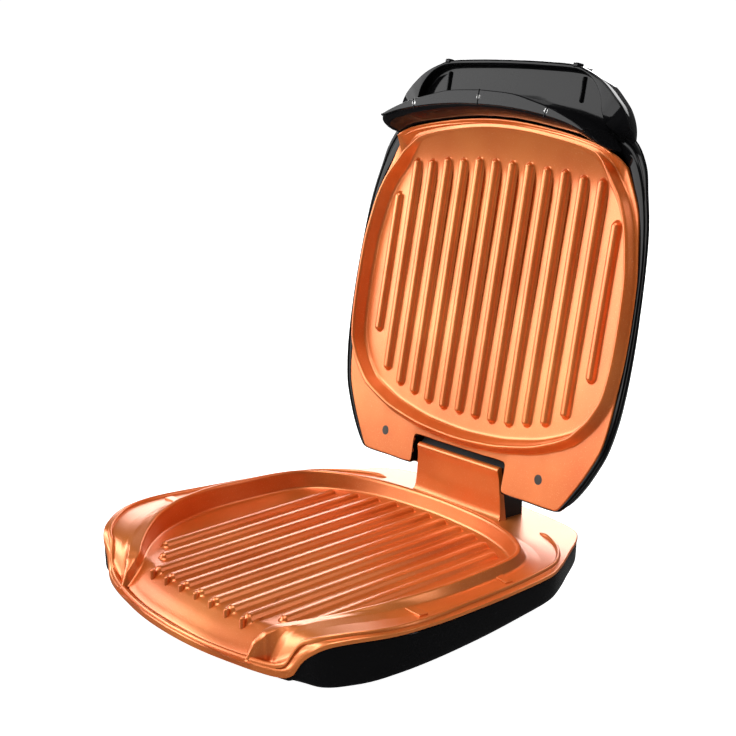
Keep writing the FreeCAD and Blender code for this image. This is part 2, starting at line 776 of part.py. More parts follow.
def upper_grill_plate():
    """Casting: flat rim, fence, ribbed floor, front flare and a notch for the hinge shroud."""
    wall = size("casting_wall")
    whole = prism(upper_edge, -far, far)
    flare = lid_line(flare_shares, "upper_plate_length", "front_flare")
    skin = whole.common(sheet_between(raised(flare, wall), flare))

    crest = upper_crest
    half_wall = size("upper_fence_wall / 2")
    run = size("upper_fence_run")
    foot = grown(crest, run)
    tip = lid_level("upper_fence_proud")
    back = lid_level("0 - upper_floor_depth - floor_wall")
    behind = prism(foot, lid_level("0"), back).common(dome(size("lid_wall + seat_gap")))
    body = funnel(grown(crest, half_wall), tip, foot, lid_level("0")).fuse(behind)
    lean = (run - half_wall) / size("upper_fence_proud + upper_floor_depth")
    mouth = grown(crest, lean * size("overrun") - half_wall)
    floor_level = lid_level("0 - upper_floor_depth")
    well = funnel(mouth, lid_level("upper_fence_proud + overrun"), grown(crest, -run), floor_level)
    floor = [
        Vector(0, far, floor_level),
        Vector(0, size("lid_rear_reach - floor_turn_inset"), floor_level),
        flare[-2],
        flare[-1],
    ]
    well = well.common(region(floor, -far))
    plate = skin.fuse(body.common(whole)).cut(well)

    ribs = []
    for index, (rear, front) in enumerate(upper_rib_shares):
        for side in both_sides:
            bar = rib(-size("upper_fence_length") * front, -size("upper_fence_length") * rear)
            bar.rotate(Vector(0, 0, 0), Vector(0, 1, 0), 180)
            across = side * (index + 1 / 2) * size("upper_rib_pitch")
            bar.translate(Vector(across, size("lid_rear_reach - upper_fence_inset"), floor_level))
            ribs.append(bar)
    half = size("recess_half_width")
    cuts = [block(-half, size("lid_rear_reach - notch_depth"), -far, half, far, far)]
    for across, along in lid_post_places:
        cuts.append(peg(size("screw_shank_radius"), across, along, -far, far))
        cuts.append(peg(size("screw_head_radius"), across, along, -far, lid_level("0 - screw_head_height")))
    nodes.append(feature("upper_grill_plate", plate.fuse(ribs).cut(cuts), lid_place()))


def crescent(back_middle, back_side, height):
    """Wire of two arcs that nearly meet at the handle's ends."""
    half = size("apron_half_width")
    rear = size("lid_rear_reach")
    tips = [Vector(side * half, rear - size("apron_side_inset"), 0) for side in both_sides]
    front_arc = Part.Arc(tips[0], Vector(0, rear - size("apron_front"), 0), tips[1]).toShape()
    inner = [Vector(side * half, rear - size("apron_side_inset") + back_side, 0) for side in both_sides]
    back_arc = Part.Arc(inner[1], Vector(0, rear - back_middle, 0), inner[0]).toShape()
    sides = [Part.LineSegment(tips[1], inner[1]).toShape(), Part.LineSegment(inner[0], tips[0]).toShape()]
    wire = Part.Wire([front_arc, sides[0], back_arc, sides[1]])
    wire.translate(Vector(0, 0, height))
    return wire


def between(low_wire, high_wire):
    """Solid between two wires with the same edges."""
    return outward(Part.makeLoft([low_wire, high_wire], True, True))


handle_screw_places = [(0, size("handle_screw_inset"))] + [
    (side * size("handle_screw_side"), size("side_screw_inset")) for side in both_sides
]


def handle_parts():
    """Hood that the fingers lift, its trim strip, the apron below the lid's front edge, the apron's cover."""
    rear = size("lid_rear_reach")
    plan = lid_outline(handle_shares, "handle_half_width", "handle_length", "handle_start")
    top_line = lid_line(hood_shares, "handle_length", "0 - handle_top", "handle_start")
    wall = size("handle_wall")
    lip = lid_level("handle_lip")
    ceiling = lid_level("handle_ceiling")
    hood = prism(plan, lip, far).common(region(top_line, -far)).cut(dome(0))
    keep_clear = prism(grown(upper_edge, size("seat_gap")), lid_level("front_flare"), lid_level("0"))
    finger_outline = lid_outline(finger_shares, "handle_half_width", "handle_length", "handle_start")
    fingers = prism(finger_outline, -far, ceiling)
    hollow = prism(grown(plan, -wall), ceiling + wall, far).common(region(raised(top_line, -wall), -far))
    trim_box = block(
        -size("trim_half_width"),
        rear - size("handle_start + handle_length + overrun"),
        lid_level("handle_lip"),
        size("trim_half_width"),
        rear - size("handle_start + handle_length - trim_depth"),
        lid_level("0 - trim_rise"),
    )
    strip = prism(plan, -far, far).cut(prism(grown(plan, -size("trim_wall")), -far, far)).common(trim_box)
    strip = strip.common(hood)
    hood = hood.cut([keep_clear, fingers, hollow, strip])
    nodes.append(feature("handle_shell", hood, lid_place()))
    nodes.append(feature("handle_trim", strip, lid_place()))

    step = lid_level("apron_step")
    foot = lid_level("apron_depth - apron_cover_wall")
    slim = size("handle_wall / 2")
    high = crescent(size("apron_back_top"), slim, ceiling)
    middle = crescent(size("apron_back_top"), slim, step)
    low = crescent(size("apron_back_foot"), slim / 2, foot)
    bottom = crescent(size("apron_back_foot"), slim / 2, lid_level("apron_depth"))
    apron = between(middle, high).fuse(between(low, middle))
    holes = []
    for across, inset in handle_screw_places:
        top = foot + size("handle_screw_length")
        holes.append(peg(size("handle_screw_radius"), across, rear - inset, -far, top))
    nodes.append(feature("handle_apron", apron.cut(holes), lid_place()))
    nodes.append(feature("handle_underside", between(bottom, low).cut(holes), lid_place()))


def primitive(kind, name, formulas, turn=None):
    """Part primitive with its sizes and place tied to the sheet; its turn is a fixed rotation."""
    solid = doc.addObject("Part::" + kind, name)
    if turn:
        solid.Placement = Placement(Vector(), turn)
    bind(solid, formulas)
    return solid


def at(across="0", along="0", up="0"):
    """Formulas of a primitive's place."""
    return {"Placement.Base.x": across, "Placement.Base.y": along, "Placement.Base.z": up}


def joined(kind, name, members, place):
    """Named sub-part that fuses, cuts or groups other objects."""
    part = doc.addObject("Part::" + kind, name)
    part.Label = name
    if kind == "Cut":
        part.Base, part.Tool = members
    elif kind == "MultiFuse":
        part.Shapes = members
    else:
        part.Links = members
    part.Placement = place
    return part


def origin_plane(body, role):
    """One of a body's own origin planes."""
    for plane in body.Origin.OriginFeatures:
        if plane.Role == role:
            return plane
    raise RuntimeError("no plane " + role)


def fix(sketch, index, kind, formula):
    """Tie one coordinate of a line's first point to the sheet."""
    value = size(formula)
    if value == 0:
        axis = -2 if kind == "DistanceX" else -1
        sketch.addConstraint(Sketcher.Constraint("PointOnObject", index, 1, axis))
    elif value > 0:
        number = sketch.addConstraint(Sketcher.Constraint(kind, -1, 1, index, 1, value))
        bind(sketch, {"Constraints[%d]" % number: formula})
    else:
        number = sketch.addConstraint(Sketcher.Constraint(kind, index, 1, -1, 1, -value))
        bind(sketch, {"Constraints[%d]" % number: "0 - (%s)" % formula})


def draw(body, name, role, corners, lift="0"):
    """Sketch of a closed polygon on an origin plane, lifted along the plane's normal."""
    sketch = body.newObject("Sketcher::SketchObject", name)
    sketch.AttachmentSupport = [(origin_plane(body, role), "")]
    sketch.MapMode = "FlatFace"
    bind(sketch, {"AttachmentOffset.Base.z": lift})
    points = [Vector(size(across), size(up), 0) for across, up in corners]
    for index, point in enumerate(points):
        sketch.addGeometry(Part.LineSegment(point, points[(index + 1) % len(points)]), False)
    for index in range(len(points)):
        sketch.addConstraint(Sketcher.Constraint("Coincident", index, 2, (index + 1) % len(points), 1))
    for index, (across, up) in enumerate(corners):
        fix(sketch, index, "DistanceX", across)
        fix(sketch, index, "DistanceY", up)
    return sketch


def box_corners(left, low, right, high):
    """Corners of an upright rectangle in a sketch."""
    return [(left, low), (right, low), (right, high), (left, high)]


def new_body(name, place):
    """Named PartDesign body."""
    body = doc.addObject("PartDesign::Body", name)
    body.Label = name
    body.Placement = place
    nodes.append(body)
    return body


def pad(body, sketch, length):
    """Solid drawn out along the sketch's normal."""
    step = body.newObject("PartDesign::Pad", sketch.Name + "_pad")
    step.Profile = sketch
    bind(step, {"Length": length})
    sketch.Visibility = False
    return step


def pocket(body, sketch, length):
    """Hollow cut along the sketch's normal; it must take something away."""
    doc.recompute()
    before = body.Shape.Volume
    step = body.newObject("PartDesign::Pocket", sketch.Name + "_pocket")
    step.Profile = sketch
    step.Reversed = True
    bind(step, {"Length": length})
    doc.recompute()
    if not body.Shape.Volume < before:
        raise RuntimeError("%s cut nothing" % step.Name)
    return step


def turned(body, corners):
    """Solid of revolution about the body's own upright axis."""
    sketch = draw(body, body.Name + "_profile", "XZ_Plane", corners)
    step = body.newObject("PartDesign::Revolution", body.Name + "_turned")
    step.Profile = sketch
    step.ReferenceAxis = (sketch, ["V_Axis"])
    step.Angle = 360
    return step


def feet():
    """Rubber feet, each with a peg into the bottom cover."""
    for name, (across, along, height) in foot_places.items():
        body = new_body(name, base_place(across, along))
        corners = [
            ("0", "0"),
            ("foot_radius - foot_edge", "0"),
            ("foot_radius", "foot_edge"),
            ("foot_radius", height),
            ("foot_peg_radius", height),
            ("foot_peg_radius", height + " + foot_peg_length"),
            ("0", height + " + foot_peg_length"),
        ]
        turned(body, corners)


def hinge_tower():
    """Hollow upright tower with a slot in each side wall for the floating pin, and two screw bosses."""
    body = new_body("hinge_tower", base_place())
    profile_corners = [
        ("0 - tower_front", "tower_seat_height"),
        ("tower_back", "tower_seat_height"),
        ("tower_back", "tower_top_height - tower_chamfer"),
        ("tower_back - tower_chamfer", "tower_top_height"),
        ("tower_chamfer - tower_front", "tower_top_height"),
        ("0 - tower_front", "tower_top_height - tower_chamfer"),
    ]
    outer = draw(body, "tower_section", "YZ_Plane", profile_corners, "0 - tower_half_width")
    pad(body, outer, "tower_half_width * 2")
    hollow_corners = box_corners(
        "tower_wall - tower_half_width", "tower_wall - tower_front", "tower_half_width - tower_wall",
        "tower_back - tower_wall",
    )
    hollow = draw(body, "tower_hollow", "XY_Plane", hollow_corners, "tower_seat_height")
    pocket(body, hollow, "tower_top_height - tower_wall - tower_seat_height")
    slot_corners = box_corners(
        "0 - pin_radius - slot_clearance",
        "hinge_height - pin_radius - slot_clearance",
        "pin_radius + slot_clearance",
        "hinge_height + float_travel + pin_radius + slot_clearance",
    )
    slot = draw(body, "tower_slot", "YZ_Plane", slot_corners, "0 - tower_half_width - overrun")
    pocket(body, slot, "(tower_half_width + overrun) * 2")
    for side, sign in (("right", ""), ("left", "0 - ")):
        middle = sign + "tower_boss_half_span"
        boss_corners = box_corners(
            middle + " - post_radius", "tower_wall - tower_front", middle + " + post_radius",
            "tower_back - tower_wall",
        )
        boss = draw(body, "tower_boss_" + side, "XY_Plane", boss_corners, "tower_seat_height")
        pad(body, boss, "tower_boss_height - tower_seat_height")
        thread_corners = box_corners(
            middle + " - screw_shank_radius", "0 - screw_shank_radius", middle + " + screw_shank_radius",
            "screw_shank_radius",
        )
        thread = draw(body, "tower_thread_" + side, "XY_Plane", thread_corners, "tower_seat_height")
        pocket(body, thread, "screw_length")


def cord_gland():
    """Bushing through the housing's rear wall, where the supply enters."""
    place = base_place("gland_side", "gland_outer_face", "gland_height")
    body = new_body("cord_gland", Placement(place.Base, Rotation(Vector(1, 0, 0), 90)))
    corners = [
        ("gland_bore_radius", "0 - gland_flange_length"),
        ("gland_flange_radius", "0 - gland_flange_length"),
        ("gland_flange_radius", "0"),
        ("gland_radius", "0"),
        ("gland_radius", "gland_length - gland_flange_length"),
        ("gland_bore_radius", "gland_length - gland_flange_length"),
    ]
    turned(body, corners)


def terminal_block():
    """Block that joins the supply to the elements' leads."""
    body = new_body("terminal_block", base_place("block_side", "0 - block_front", "tower_seat_height"))
    plan = draw(body, "block_plan", "XY_Plane", box_corners("0", "0", "block_length", "block_width"))
    pad(body, plan, "block_height")
    for number in range(3):
        middle = "block_length / 2 + block_hole_pitch * %d" % (number - 1)
        corners = box_corners(
            middle + " - block_hole_radius", "block_width / 2 - block_hole_radius",
            middle + " + block_hole_radius", "block_width / 2 + block_hole_radius",
        )
        hole = draw(body, "block_hole_%d" % number, "XY_Plane", corners, "block_height / 2")
        pocket(body, hole, "block_height")


def heating_element(name, place):
    """Tube bent to a U under a plate, from its two tails."""
    turn = Rotation(Vector(1, 0, 0), 90)
    legs = []
    for side, across in (("right", "element_half_span"), ("left", "0 - element_half_span")):
        leg_formulas = {"Radius": "element_radius", "Height": "element_leg", **at(across)}
        legs.append(primitive("Cylinder", name + "_leg_" + side, leg_formulas, turn))
    bend_formulas = {"Radius1": "element_half_span", "Radius2": "element_radius", **at("0", "0 - element_leg")}
    bend = primitive("Torus", name + "_bend", bend_formulas, Rotation(Vector(0, 0, 1), 180))
    bend.Angle3 = 180
    nodes.append(joined("MultiFuse", name, legs + [bend], place))


def element_clips(name, place):
    """Saddles that hold the tube against its plate."""
    clips = []
    spots = (
        ("right", "element_half_span", "0 - element_leg + clip_width"),
        ("left", "0 - element_half_span", "0 - element_leg + clip_width"),
    )
    for side, across, along in spots:
        block_formulas = {
            "Length": "clip_length",
            "Width": "clip_width",
            "Height": "element_radius * 2 + clip_wall",
            **at(across + " - clip_length / 2", along, "0 - clip_wall - element_radius"),
        }
        saddle = primitive("Box", name + "_saddle_" + side, block_formulas)
        tube_formulas = {
            "Radius": "element_radius",
            "Height": "clip_width + overrun * 2",
            **at(across, along + " + clip_width + overrun"),
        }
        tube = primitive("Cylinder", name + "_tube_" + side, tube_formulas, Rotation(Vector(1, 0, 0), 90))
        slot_formulas = {
            "Length": "element_radius * 2",
            "Width": "clip_width + overrun * 2",
            "Height": "element_radius + overrun",
            **at(across + " - element_radius", along + " - overrun"),
        }
        slot = primitive("Box", name + "_slot_" + side, slot_formulas)
        hollow = doc.addObject("Part::MultiFuse", name + "_hollow_" + side)
        hollow.Shapes = [tube, slot]
        clip = doc.addObject("Part::Cut", name + "_clip_" + side)
        clip.Base = saddle
        clip.Tool = hollow
        clips.append(clip)
    nodes.append(joined("Compound", name, clips, place))


def heat_shield(name, place):
    """Thin sheet with slots, held off the plate by the clips."""
    body = new_body(name, place)
    outline_corners = box_corners("0 - shield_half_width", "0 - shield_length", "shield_half_width", "0")
    pad(body, draw(body, name + "_plan", "XY_Plane", outline_corners), "shield_wall")
    for number in range(3):
        middle = "shield_slot_pitch * %d" % (number - 1)
        corners = box_corners(
            middle + " - shield_slot_width / 2", "shield_slot_pitch / 2 - shield_length",
            middle + " + shield_slot_width / 2", "0 - shield_slot_pitch / 2",
        )
        slot = draw(body, name + "_slot_%d" % number, "XY_Plane", corners, "0 - overrun")
        pocket(body, slot, "overrun * 2")


def thermostat(name, place):
    """Round snap switch against the back of a plate, with its upright axis along the body's own."""
    body = new_body(name, place)
    corners = [
        ("0", "0"),
        ("thermostat_radius * 0.8", "0"),
        ("thermostat_radius * 0.8", "thermostat_height / 2"),
        ("thermostat_radius", "thermostat_height / 2"),
        ("thermostat_radius", "thermostat_height"),
        ("0", "thermostat_height"),
    ]
    turned(body, corners)


def thermal_fuse():
    """Fuse with its two leads, against the back of the lower plate."""
    drop = "0 - floor_wall - fuse_radius"
    turn = Rotation(Vector(0, 1, 0), 90)
    can_formulas = {"Radius": "fuse_radius", "Height": "fuse_length", **at("0", "0", "0")}
    can = primitive("Cylinder", "fuse_can", can_formulas, turn)
    lead_formulas = {
        "Radius": "fuse_lead_radius",
        "Height": "fuse_length + fuse_lead_length * 2",
        **at("0 - fuse_lead_length"),
    }
    lead = primitive("Cylinder", "fuse_leads", lead_formulas, turn)
    place = floor_place("fuse_side", "0 - thermostat_inset", drop)
    nodes.append(joined("MultiFuse", "thermal_fuse", [can, lead], place))


def screw(name, head, head_height, shank, length, spot):
    """Screw with its head's seat at the spot, pointing up."""
    across, along, up = spot
    below = "%s - (%s)" % (up, head_height)
    head_formulas = {"Radius": head, "Height": head_height, **at(across, along, below)}
    shank_formulas = {"Radius": shank, "Height": length, **at(across, along, up)}
    pair = [
        primitive("Cylinder", name + "_head", head_formulas),
        primitive("Cylinder", name + "_shank", shank_formulas),
    ]
    fused = doc.addObject("Part::MultiFuse", name)
    fused.Shapes = pair
    return fused


def screws():
    """Screws of the base, the tower, the upper plate and the handle."""
    base_spots = {}
    for end in ("front", "rear"):
        for side, sign in (("right", ""), ("left", "0 - ")):
            spot = (sign + end + "_post_half_span", "0 - " + end + "_post_ahead", end + "_screw_seat")
            base_spots[end + "_" + side] = spot
    tower_spots = {
        "right": ("tower_boss_half_span", "0", "tower_screw_seat"),
        "left": ("0 - tower_boss_half_span", "0", "tower_screw_seat"),
    }
    common_sizes = ("screw_head_radius", "screw_head_height", "screw_shank_radius", "screw_length")
    made = [screw("base_screw_" + name, *common_sizes, spot) for name, spot in base_spots.items()]
    nodes.append(joined("Compound", "base_screws", made, base_place()))
    made = [screw("tower_screw_" + name, *common_sizes, spot) for name, spot in tower_spots.items()]
    nodes.append(joined("Compound", "tower_screws", made, base_place()))
    seat = "screw_head_height - plate_drop"
    plate_spots = {
        "right": ("plate_screw_half_span", "lid_rear_reach - plate_screw_inset", seat),
        "left": ("0 - plate_screw_half_span", "lid_rear_reach - plate_screw_inset", seat),
    }
    made = [screw("plate_screw_" + name, *common_sizes, spot) for name, spot in plate_spots.items()]
    nodes.append(joined("Compound", "upper_plate_screws", made, lid_place()))
    seat = "handle_screw_head - apron_depth - plate_drop"
    handle_spots = {
        "middle": ("0", "lid_rear_reach - handle_screw_inset", seat),
        "right": ("handle_screw_side", "lid_rear_reach - side_screw_inset", seat),
        "left": ("0 - handle_screw_side", "lid_rear_reach - side_screw_inset", seat),
    }
    handle_sizes = ("handle_screw_radius", "handle_screw_head", "handle_screw_radius", "handle_screw_length")
    made = [screw("handle_screw_" + name, *handle_sizes, spot) for name, spot in handle_spots.items()]
    nodes.append(joined("Compound", "handle_screws", made, lid_place()))


def hinge_pieces():
    """Floating pin and the two bushes that turn on it."""
    turn = Rotation(Vector(0, 1, 0), 90)
    pin = primitive("Cylinder", "hinge_pin", {"Radius": "pin_radius", "Height": "pin_half_length * 2"}, turn)
    pin.Label = "hinge_pin"
    pin.Placement = Placement(base_place("0 - pin_half_length", "0", "hinge_height").Base, turn)
    nodes.append(pin)
    for side, start in (("right", "bush_inset"), ("left", "0 - bush_inset - bush_length")):
        outer = primitive("Cylinder", "bush_outer_" + side, {"Radius": "bush_radius", "Height": "bush_length"})
        bore_formulas = {"Radius": "pin_radius + pin_clearance", "Height": "bush_length"}
        bore = primitive("Cylinder", "bush_bore_" + side, bore_formulas)
        place = lid_place(start) * Placement(Vector(), turn)
        nodes.append(joined("Cut", "hinge_bush_" + side, [outer, bore], place))


def indicators():
    """Two indicator lenses in the dome, each over its lamp."""
    for name, sign in (("power", "0 - "), ("ready", "")):
        place = lid_place(sign + "lens_side", "lens_inset", "lens_length - dome_height")
        lens = new_body(name + "_light", place)
        corners = [
            ("0", "0"),
            ("lens_radius", "0"),
            ("lens_radius", "lens_length - lid_wall"),
            ("lens_radius - lid_wall / 2", "lens_length"),
            ("0", "lens_length"),
        ]
        turned(lens, corners)


def lamps():
    """Lamps behind the two lenses."""
    made = []
    for name, sign in (("power", "0 - "), ("ready", "")):
        formulas = {"Radius": "lamp_radius", "Height": "lamp_length", **at(sign + "lens_side")}
        made.append(primitive("Cylinder", name + "_lamp", formulas))
    place = lid_place("0", "lens_inset", "lens_length + lamp_length - dome_height")
    nodes.append(joined("Compound", "indicator_lamps", made, place))


def heating_sets():
    """Element, clips, heat shield and thermostat under the lower plate and on the back of the upper plate."""
    tube_place = floor_place("0", "0 - element_tail", "0 - floor_wall - element_radius")
    heating_element("lower_heating_element", tube_place)
    element_clips("lower_element_clips", tube_place)
    stack = "floor_wall - element_radius * 2 - clip_wall - shield_wall"
    heat_shield("lower_heat_shield", floor_place("0", "0 - shield_start", "0 - " + stack))
    switch_place = floor_place("0", "0 - thermostat_inset", "0 - floor_wall - thermostat_height")
    thermostat("lower_thermostat", switch_place)

    over = Placement(Vector(), Rotation(Vector(0, 1, 0), 180))
    behind = "0 - upper_floor_depth - floor_wall - "
    tube_place = lid_place("0", "upper_fence_inset + element_tail", behind + "element_radius") * over
    heating_element("upper_heating_element", tube_place)
    element_clips("upper_element_clips", tube_place)
    stack = "element_radius * 2 - clip_wall - shield_wall"
    heat_shield("upper_heat_shield", lid_place("0", "upper_fence_inset + shield_start", behind + stack) * over)
    switch_inset = "upper_fence_inset + thermostat_inset"
    thermostat("upper_thermostat", lid_place("0", switch_inset, behind + "thermostat_height") * over)


steps = [
    base_housing, bottom_cover, lower_grill_plate, lid_housing, upper_grill_plate, handle_parts, feet,
    hinge_tower, cord_gland, terminal_block, thermal_fuse, heating_sets, screws, hinge_pieces, indicators,
    lamps,
]
for step in steps:
    step()
doc.recompute()

broken = [thing.Label for thing in doc.Objects if "Invalid" in thing.State or "Error" in thing.State]
broken += [node.Label for node in nodes if node.Shape.isNull() or not node.Shape.isValid()]
if broken:
    raise RuntimeError("broken objects: " + ", ".join(broken))

os.makedirs("parts", exist_ok=True)
for node in nodes:
    node.Shape.exportStep(os.path.join("parts", node.Label + ".step"))
print("%d parts written" % len(nodes))
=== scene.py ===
import math

import bmesh
import bpy
from mathutils import Matrix, Vector


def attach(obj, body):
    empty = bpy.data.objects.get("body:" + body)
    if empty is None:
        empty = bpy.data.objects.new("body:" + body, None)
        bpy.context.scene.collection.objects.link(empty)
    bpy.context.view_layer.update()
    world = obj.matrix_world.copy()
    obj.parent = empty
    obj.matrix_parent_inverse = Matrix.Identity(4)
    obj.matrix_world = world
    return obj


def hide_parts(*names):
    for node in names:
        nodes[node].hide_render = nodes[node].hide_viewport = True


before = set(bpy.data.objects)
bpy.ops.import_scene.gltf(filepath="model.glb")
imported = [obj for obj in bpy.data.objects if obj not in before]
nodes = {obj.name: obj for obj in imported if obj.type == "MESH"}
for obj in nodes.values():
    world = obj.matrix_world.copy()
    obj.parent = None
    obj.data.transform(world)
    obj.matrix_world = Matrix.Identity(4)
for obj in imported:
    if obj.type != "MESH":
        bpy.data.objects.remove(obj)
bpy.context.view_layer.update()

scene = bpy.context.scene
mm = 0.001

# the two frames that the pieces are drawn in, both in millimetres
# base: x across, y from the hinge line (the front is minus), z from the worktop
# lid: x across, v from the flange's rear edge to the front, w out of the plate's face
hinge = {"back": 82.9, "height": 53.9, "openAngle": 101.2, "pinV": 4.93, "pinW": -13.2}


def frames():
    grow = Matrix.Scale(mm, 4)
    base = Matrix.Translation((0, hinge["back"], 0))
    turn = math.radians(hinge["openAngle"])
    along = Vector((0, -math.cos(turn), math.sin(turn)))
    out = Vector((0, -math.sin(turn), -math.cos(turn)))
    lid = Matrix((
        (1, 0, 0, 0),
        (0, along.y, out.y, hinge["back"]),
        (0, along.z, out.z, hinge["height"]),
        (0, 0, 0, 1),
    )) @ Matrix.Translation((0, -hinge["pinV"], -hinge["pinW"]))
    return grow @ base, grow @ lid


baseFrame, lidFrame = frames()

# camera, lights and floor

cameraPlace = {"at": (0.6564, -0.5277, 0.3265), "along": (-0.7584, 0.6111, -0.2267), "lens": 73.37}


def makeCamera():
    data = bpy.data.cameras.new("camera")
    data.lens = cameraPlace["lens"]
    data.sensor_width = 36
    camera = bpy.data.objects.new("camera", data)
    camera.location = cameraPlace["at"]
    camera.rotation_euler = Vector(cameraPlace["along"]).to_track_quat("-Z", "Y").to_euler()
    scene.collection.objects.link(camera)
    scene.camera = camera


lampPlan = {
    # name: (place, looks at, width, height, watts)
    "plateLamp": ((-1.2, -0.98, 0.5), (0, 0.1, 0.2), 1.3, 0.66, 17),
    "topLamp": ((-0.15, -0.75, 1.75), (0, 0, 0), 1.1, 1.1, 25),
    "backLamp": ((-1.25, 1.05, 0.55), (0, -0.03, 0.04), 1.3, 0.5, 11),
    "edgeLamp": ((1.2, 0.5, 0.9), (0.1, 0, 0.1), 0.1, 1.0, 3),
    "rearLamp": ((-0.5, 1.7, 1.2), (0, 0.1, 0.15), 1.2, 0.8, 12),
}


def makeLamps():
    for name, (place, aim, width, height, watts) in lampPlan.items():
        data = bpy.data.lights.new(name, "AREA")
        data.shape = "RECTANGLE"
        data.size = width
        data.size_y = height
        data.energy = watts
        lamp = bpy.data.objects.new(name, data)
        lamp.location = place
        lamp.rotation_euler = (Vector(aim) - Vector(place)).to_track_quat("-Z", "Y").to_euler()
        scene.collection.objects.link(lamp)


# shader maths as expressions on sockets


class Link:
    def __init__(self, tree, socket=None):
        self.tree = tree
        self.socket = socket

    def node(self, kind, settings=None, values=None, out=0):
        made = self.tree.nodes.new("ShaderNode" + kind)
        for name, value in (settings or {}).items():
            setattr(made, name, value)
        for name, value in (values or {}).items():
            if isinstance(value, Link):
                self.tree.links.new(value.socket, made.inputs[name])
            else:
                made.inputs[name].default_value = value
        return Link(self.tree, made.outputs[out])

    def maths(self, operation, *values):
        return self.node("Math", {"operation": operation}, dict(enumerate(values)))

    def __add__(self, other):
        return self.maths("ADD", self, other)

    def __radd__(self, other):
        return self.maths("ADD", other, self)

    def __sub__(self, other):
        return self.maths("SUBTRACT", self, other)

    def __rsub__(self, other):
        return self.maths("SUBTRACT", other, self)

    def __mul__(self, other):
        return self.maths("MULTIPLY", self, other)

    def __rmul__(self, other):
        return self.maths("MULTIPLY", other, self)

    def between(self, low, high):
        return self.node("MapRange", {"clamp": True}, {0: self, 1: low, 2: high})

    def mix(self, first, second):
        return self.node("Mix", {"data_type": "RGBA"}, {0: self, 6: first, 7: second}, out=2)


def newMaterial(name, fixed):
    material = bpy.data.materials.new(name)
    material.use_nodes = True
    tree = material.node_tree
    shader = tree.nodes["Principled BSDF"]
    for socket, value in fixed.items():
        shader.inputs[socket].default_value = value
    start = Link(tree)
    place = start.node("TexCoord", out=3)
    return material, place, lambda socket, link: tree.links.new(link.socket, shader.inputs[socket])


def noise(place, scale, detail=2, rough=0.5):
    values = {"Vector": place, "Scale": scale, "Detail": detail, "Roughness": rough}
    return place.node("TexNoise", {}, values)


def bump(height, strength, distance):
    return height.node("Bump", {}, {"Strength": strength, "Distance": distance, "Height": height})


copperLook = {
    "deep": (0.66, 0.130, 0.012, 1),
    "bright": (0.80, 0.215, 0.034, 1),
    "fleck": (1.0, 0.55, 0.22, 1),
}


def copperCoating():
    varnish = {"IOR": 1.5, "Coat IOR": 1.7, "Coat Roughness": 0.3}
    material, place, join = newMaterial("copperCoating", varnish)
    cloud = noise(place, 14, 3).between(0.35, 0.65)
    grain = noise(place, 1500, 2, 0.6)
    fleck = grain.between(0.6, 0.72)
    tone = cloud.mix(copperLook["deep"], copperLook["bright"])
    speckled = (fleck * 0.3).mix(tone, copperLook["fleck"])
    join("Base Color", speckled)
    join("Metallic", 0.56 - fleck * 0.12)
    join("Roughness", 0.30 + grain * 0.10)
    join("Coat Weight", 0.4 + cloud * 0.1)
    join("Normal", bump(grain, 0.2, 0.00005))
    return material


def glossBlack(name="glossBlack", colour=(0.0035, 0.0035, 0.0038, 1), rough=0.08):
    polish = {"IOR": 1.3, "Specular IOR Level": 0.2, "Coat Roughness": 0.03}
    material, place, join = newMaterial(name, polish)
    wave = noise(place, 38, 1)
    dust = noise(place, 900, 2).between(0.62, 0.75)
    join("Base Color", (dust * 0.4).mix(colour, (0.012, 0.012, 0.013, 1)))
    join("Roughness", rough + dust * 0.06 + wave * 0.03)
    join("Coat Weight", 0.05 - dust * 0.03)
    join("Normal", bump(wave, 0.10, 0.0004))
    return material


def matteBlack(name="matteBlack", colour=(0.014, 0.014, 0.015, 1), rough=0.5):
    material, place, join = newMaterial(name, {"IOR": 1.48})
    pit = place.node("TexVoronoi", {}, {"Vector": place, "Scale": 1400})
    wear = noise(place, 60, 3).between(0.45, 0.7)
    join("Base Color", (wear * 0.5).mix(colour, (0.03, 0.03, 0.032, 1)))
    join("Roughness", rough + wear * 0.12)
    join("Normal", bump(pit, 0.25, 0.00008))
    return material


def rubberBlack():
    material, place, join = newMaterial("rubberBlack", {"IOR": 1.45})
    grain = noise(place, 700, 3)
    join("Base Color", grain.mix((0.012, 0.012, 0.012, 1), (0.035, 0.034, 0.033, 1)))
    join("Roughness", 0.72 + grain * 0.15)
    join("Normal", bump(grain, 0.3, 0.0001))
    return material


def metalFinish(name, low, high, rough, stretch=(1, 1, 1)):
    material, place, join = newMaterial(name, {})
    laid = place.node("Mapping", {}, {"Vector": place, "Scale": stretch})
    brush = noise(laid, 500, 3)
    patch = noise(place, 40, 2)
    join("Base Color", patch.between(0.3, 0.7).mix(low, high))
    join("Metallic", 1.0 - patch * 0.08)
    join("Roughness", rough + brush * 0.14)
    join("Normal", bump(brush, 0.15, 0.00005))
    return material


def lensFinish(name, deep, bright):
    material, place, join = newMaterial(name, {"IOR": 1.52, "Coat Roughness": 0.02})
    streak = noise(place, 240, 1)
    join("Base Color", streak.mix(deep, bright))
    join("Roughness", 0.12 + streak * 0.06)
    join("Coat Weight", 0.7 + streak * 0.2)
    join("Normal", bump(streak, 0.05, 0.0002))
    return material


def ceramicFinish():
    material, place, join = newMaterial("ceramicWhite", {"IOR": 1.5})
    cloud = noise(place, 220, 3)
    join("Base Color", cloud.mix((0.62, 0.58, 0.50, 1), (0.80, 0.77, 0.70, 1)))
    join("Roughness", 0.35 + cloud * 0.2)
    join("Normal", bump(cloud, 0.1, 0.0001))
    return material


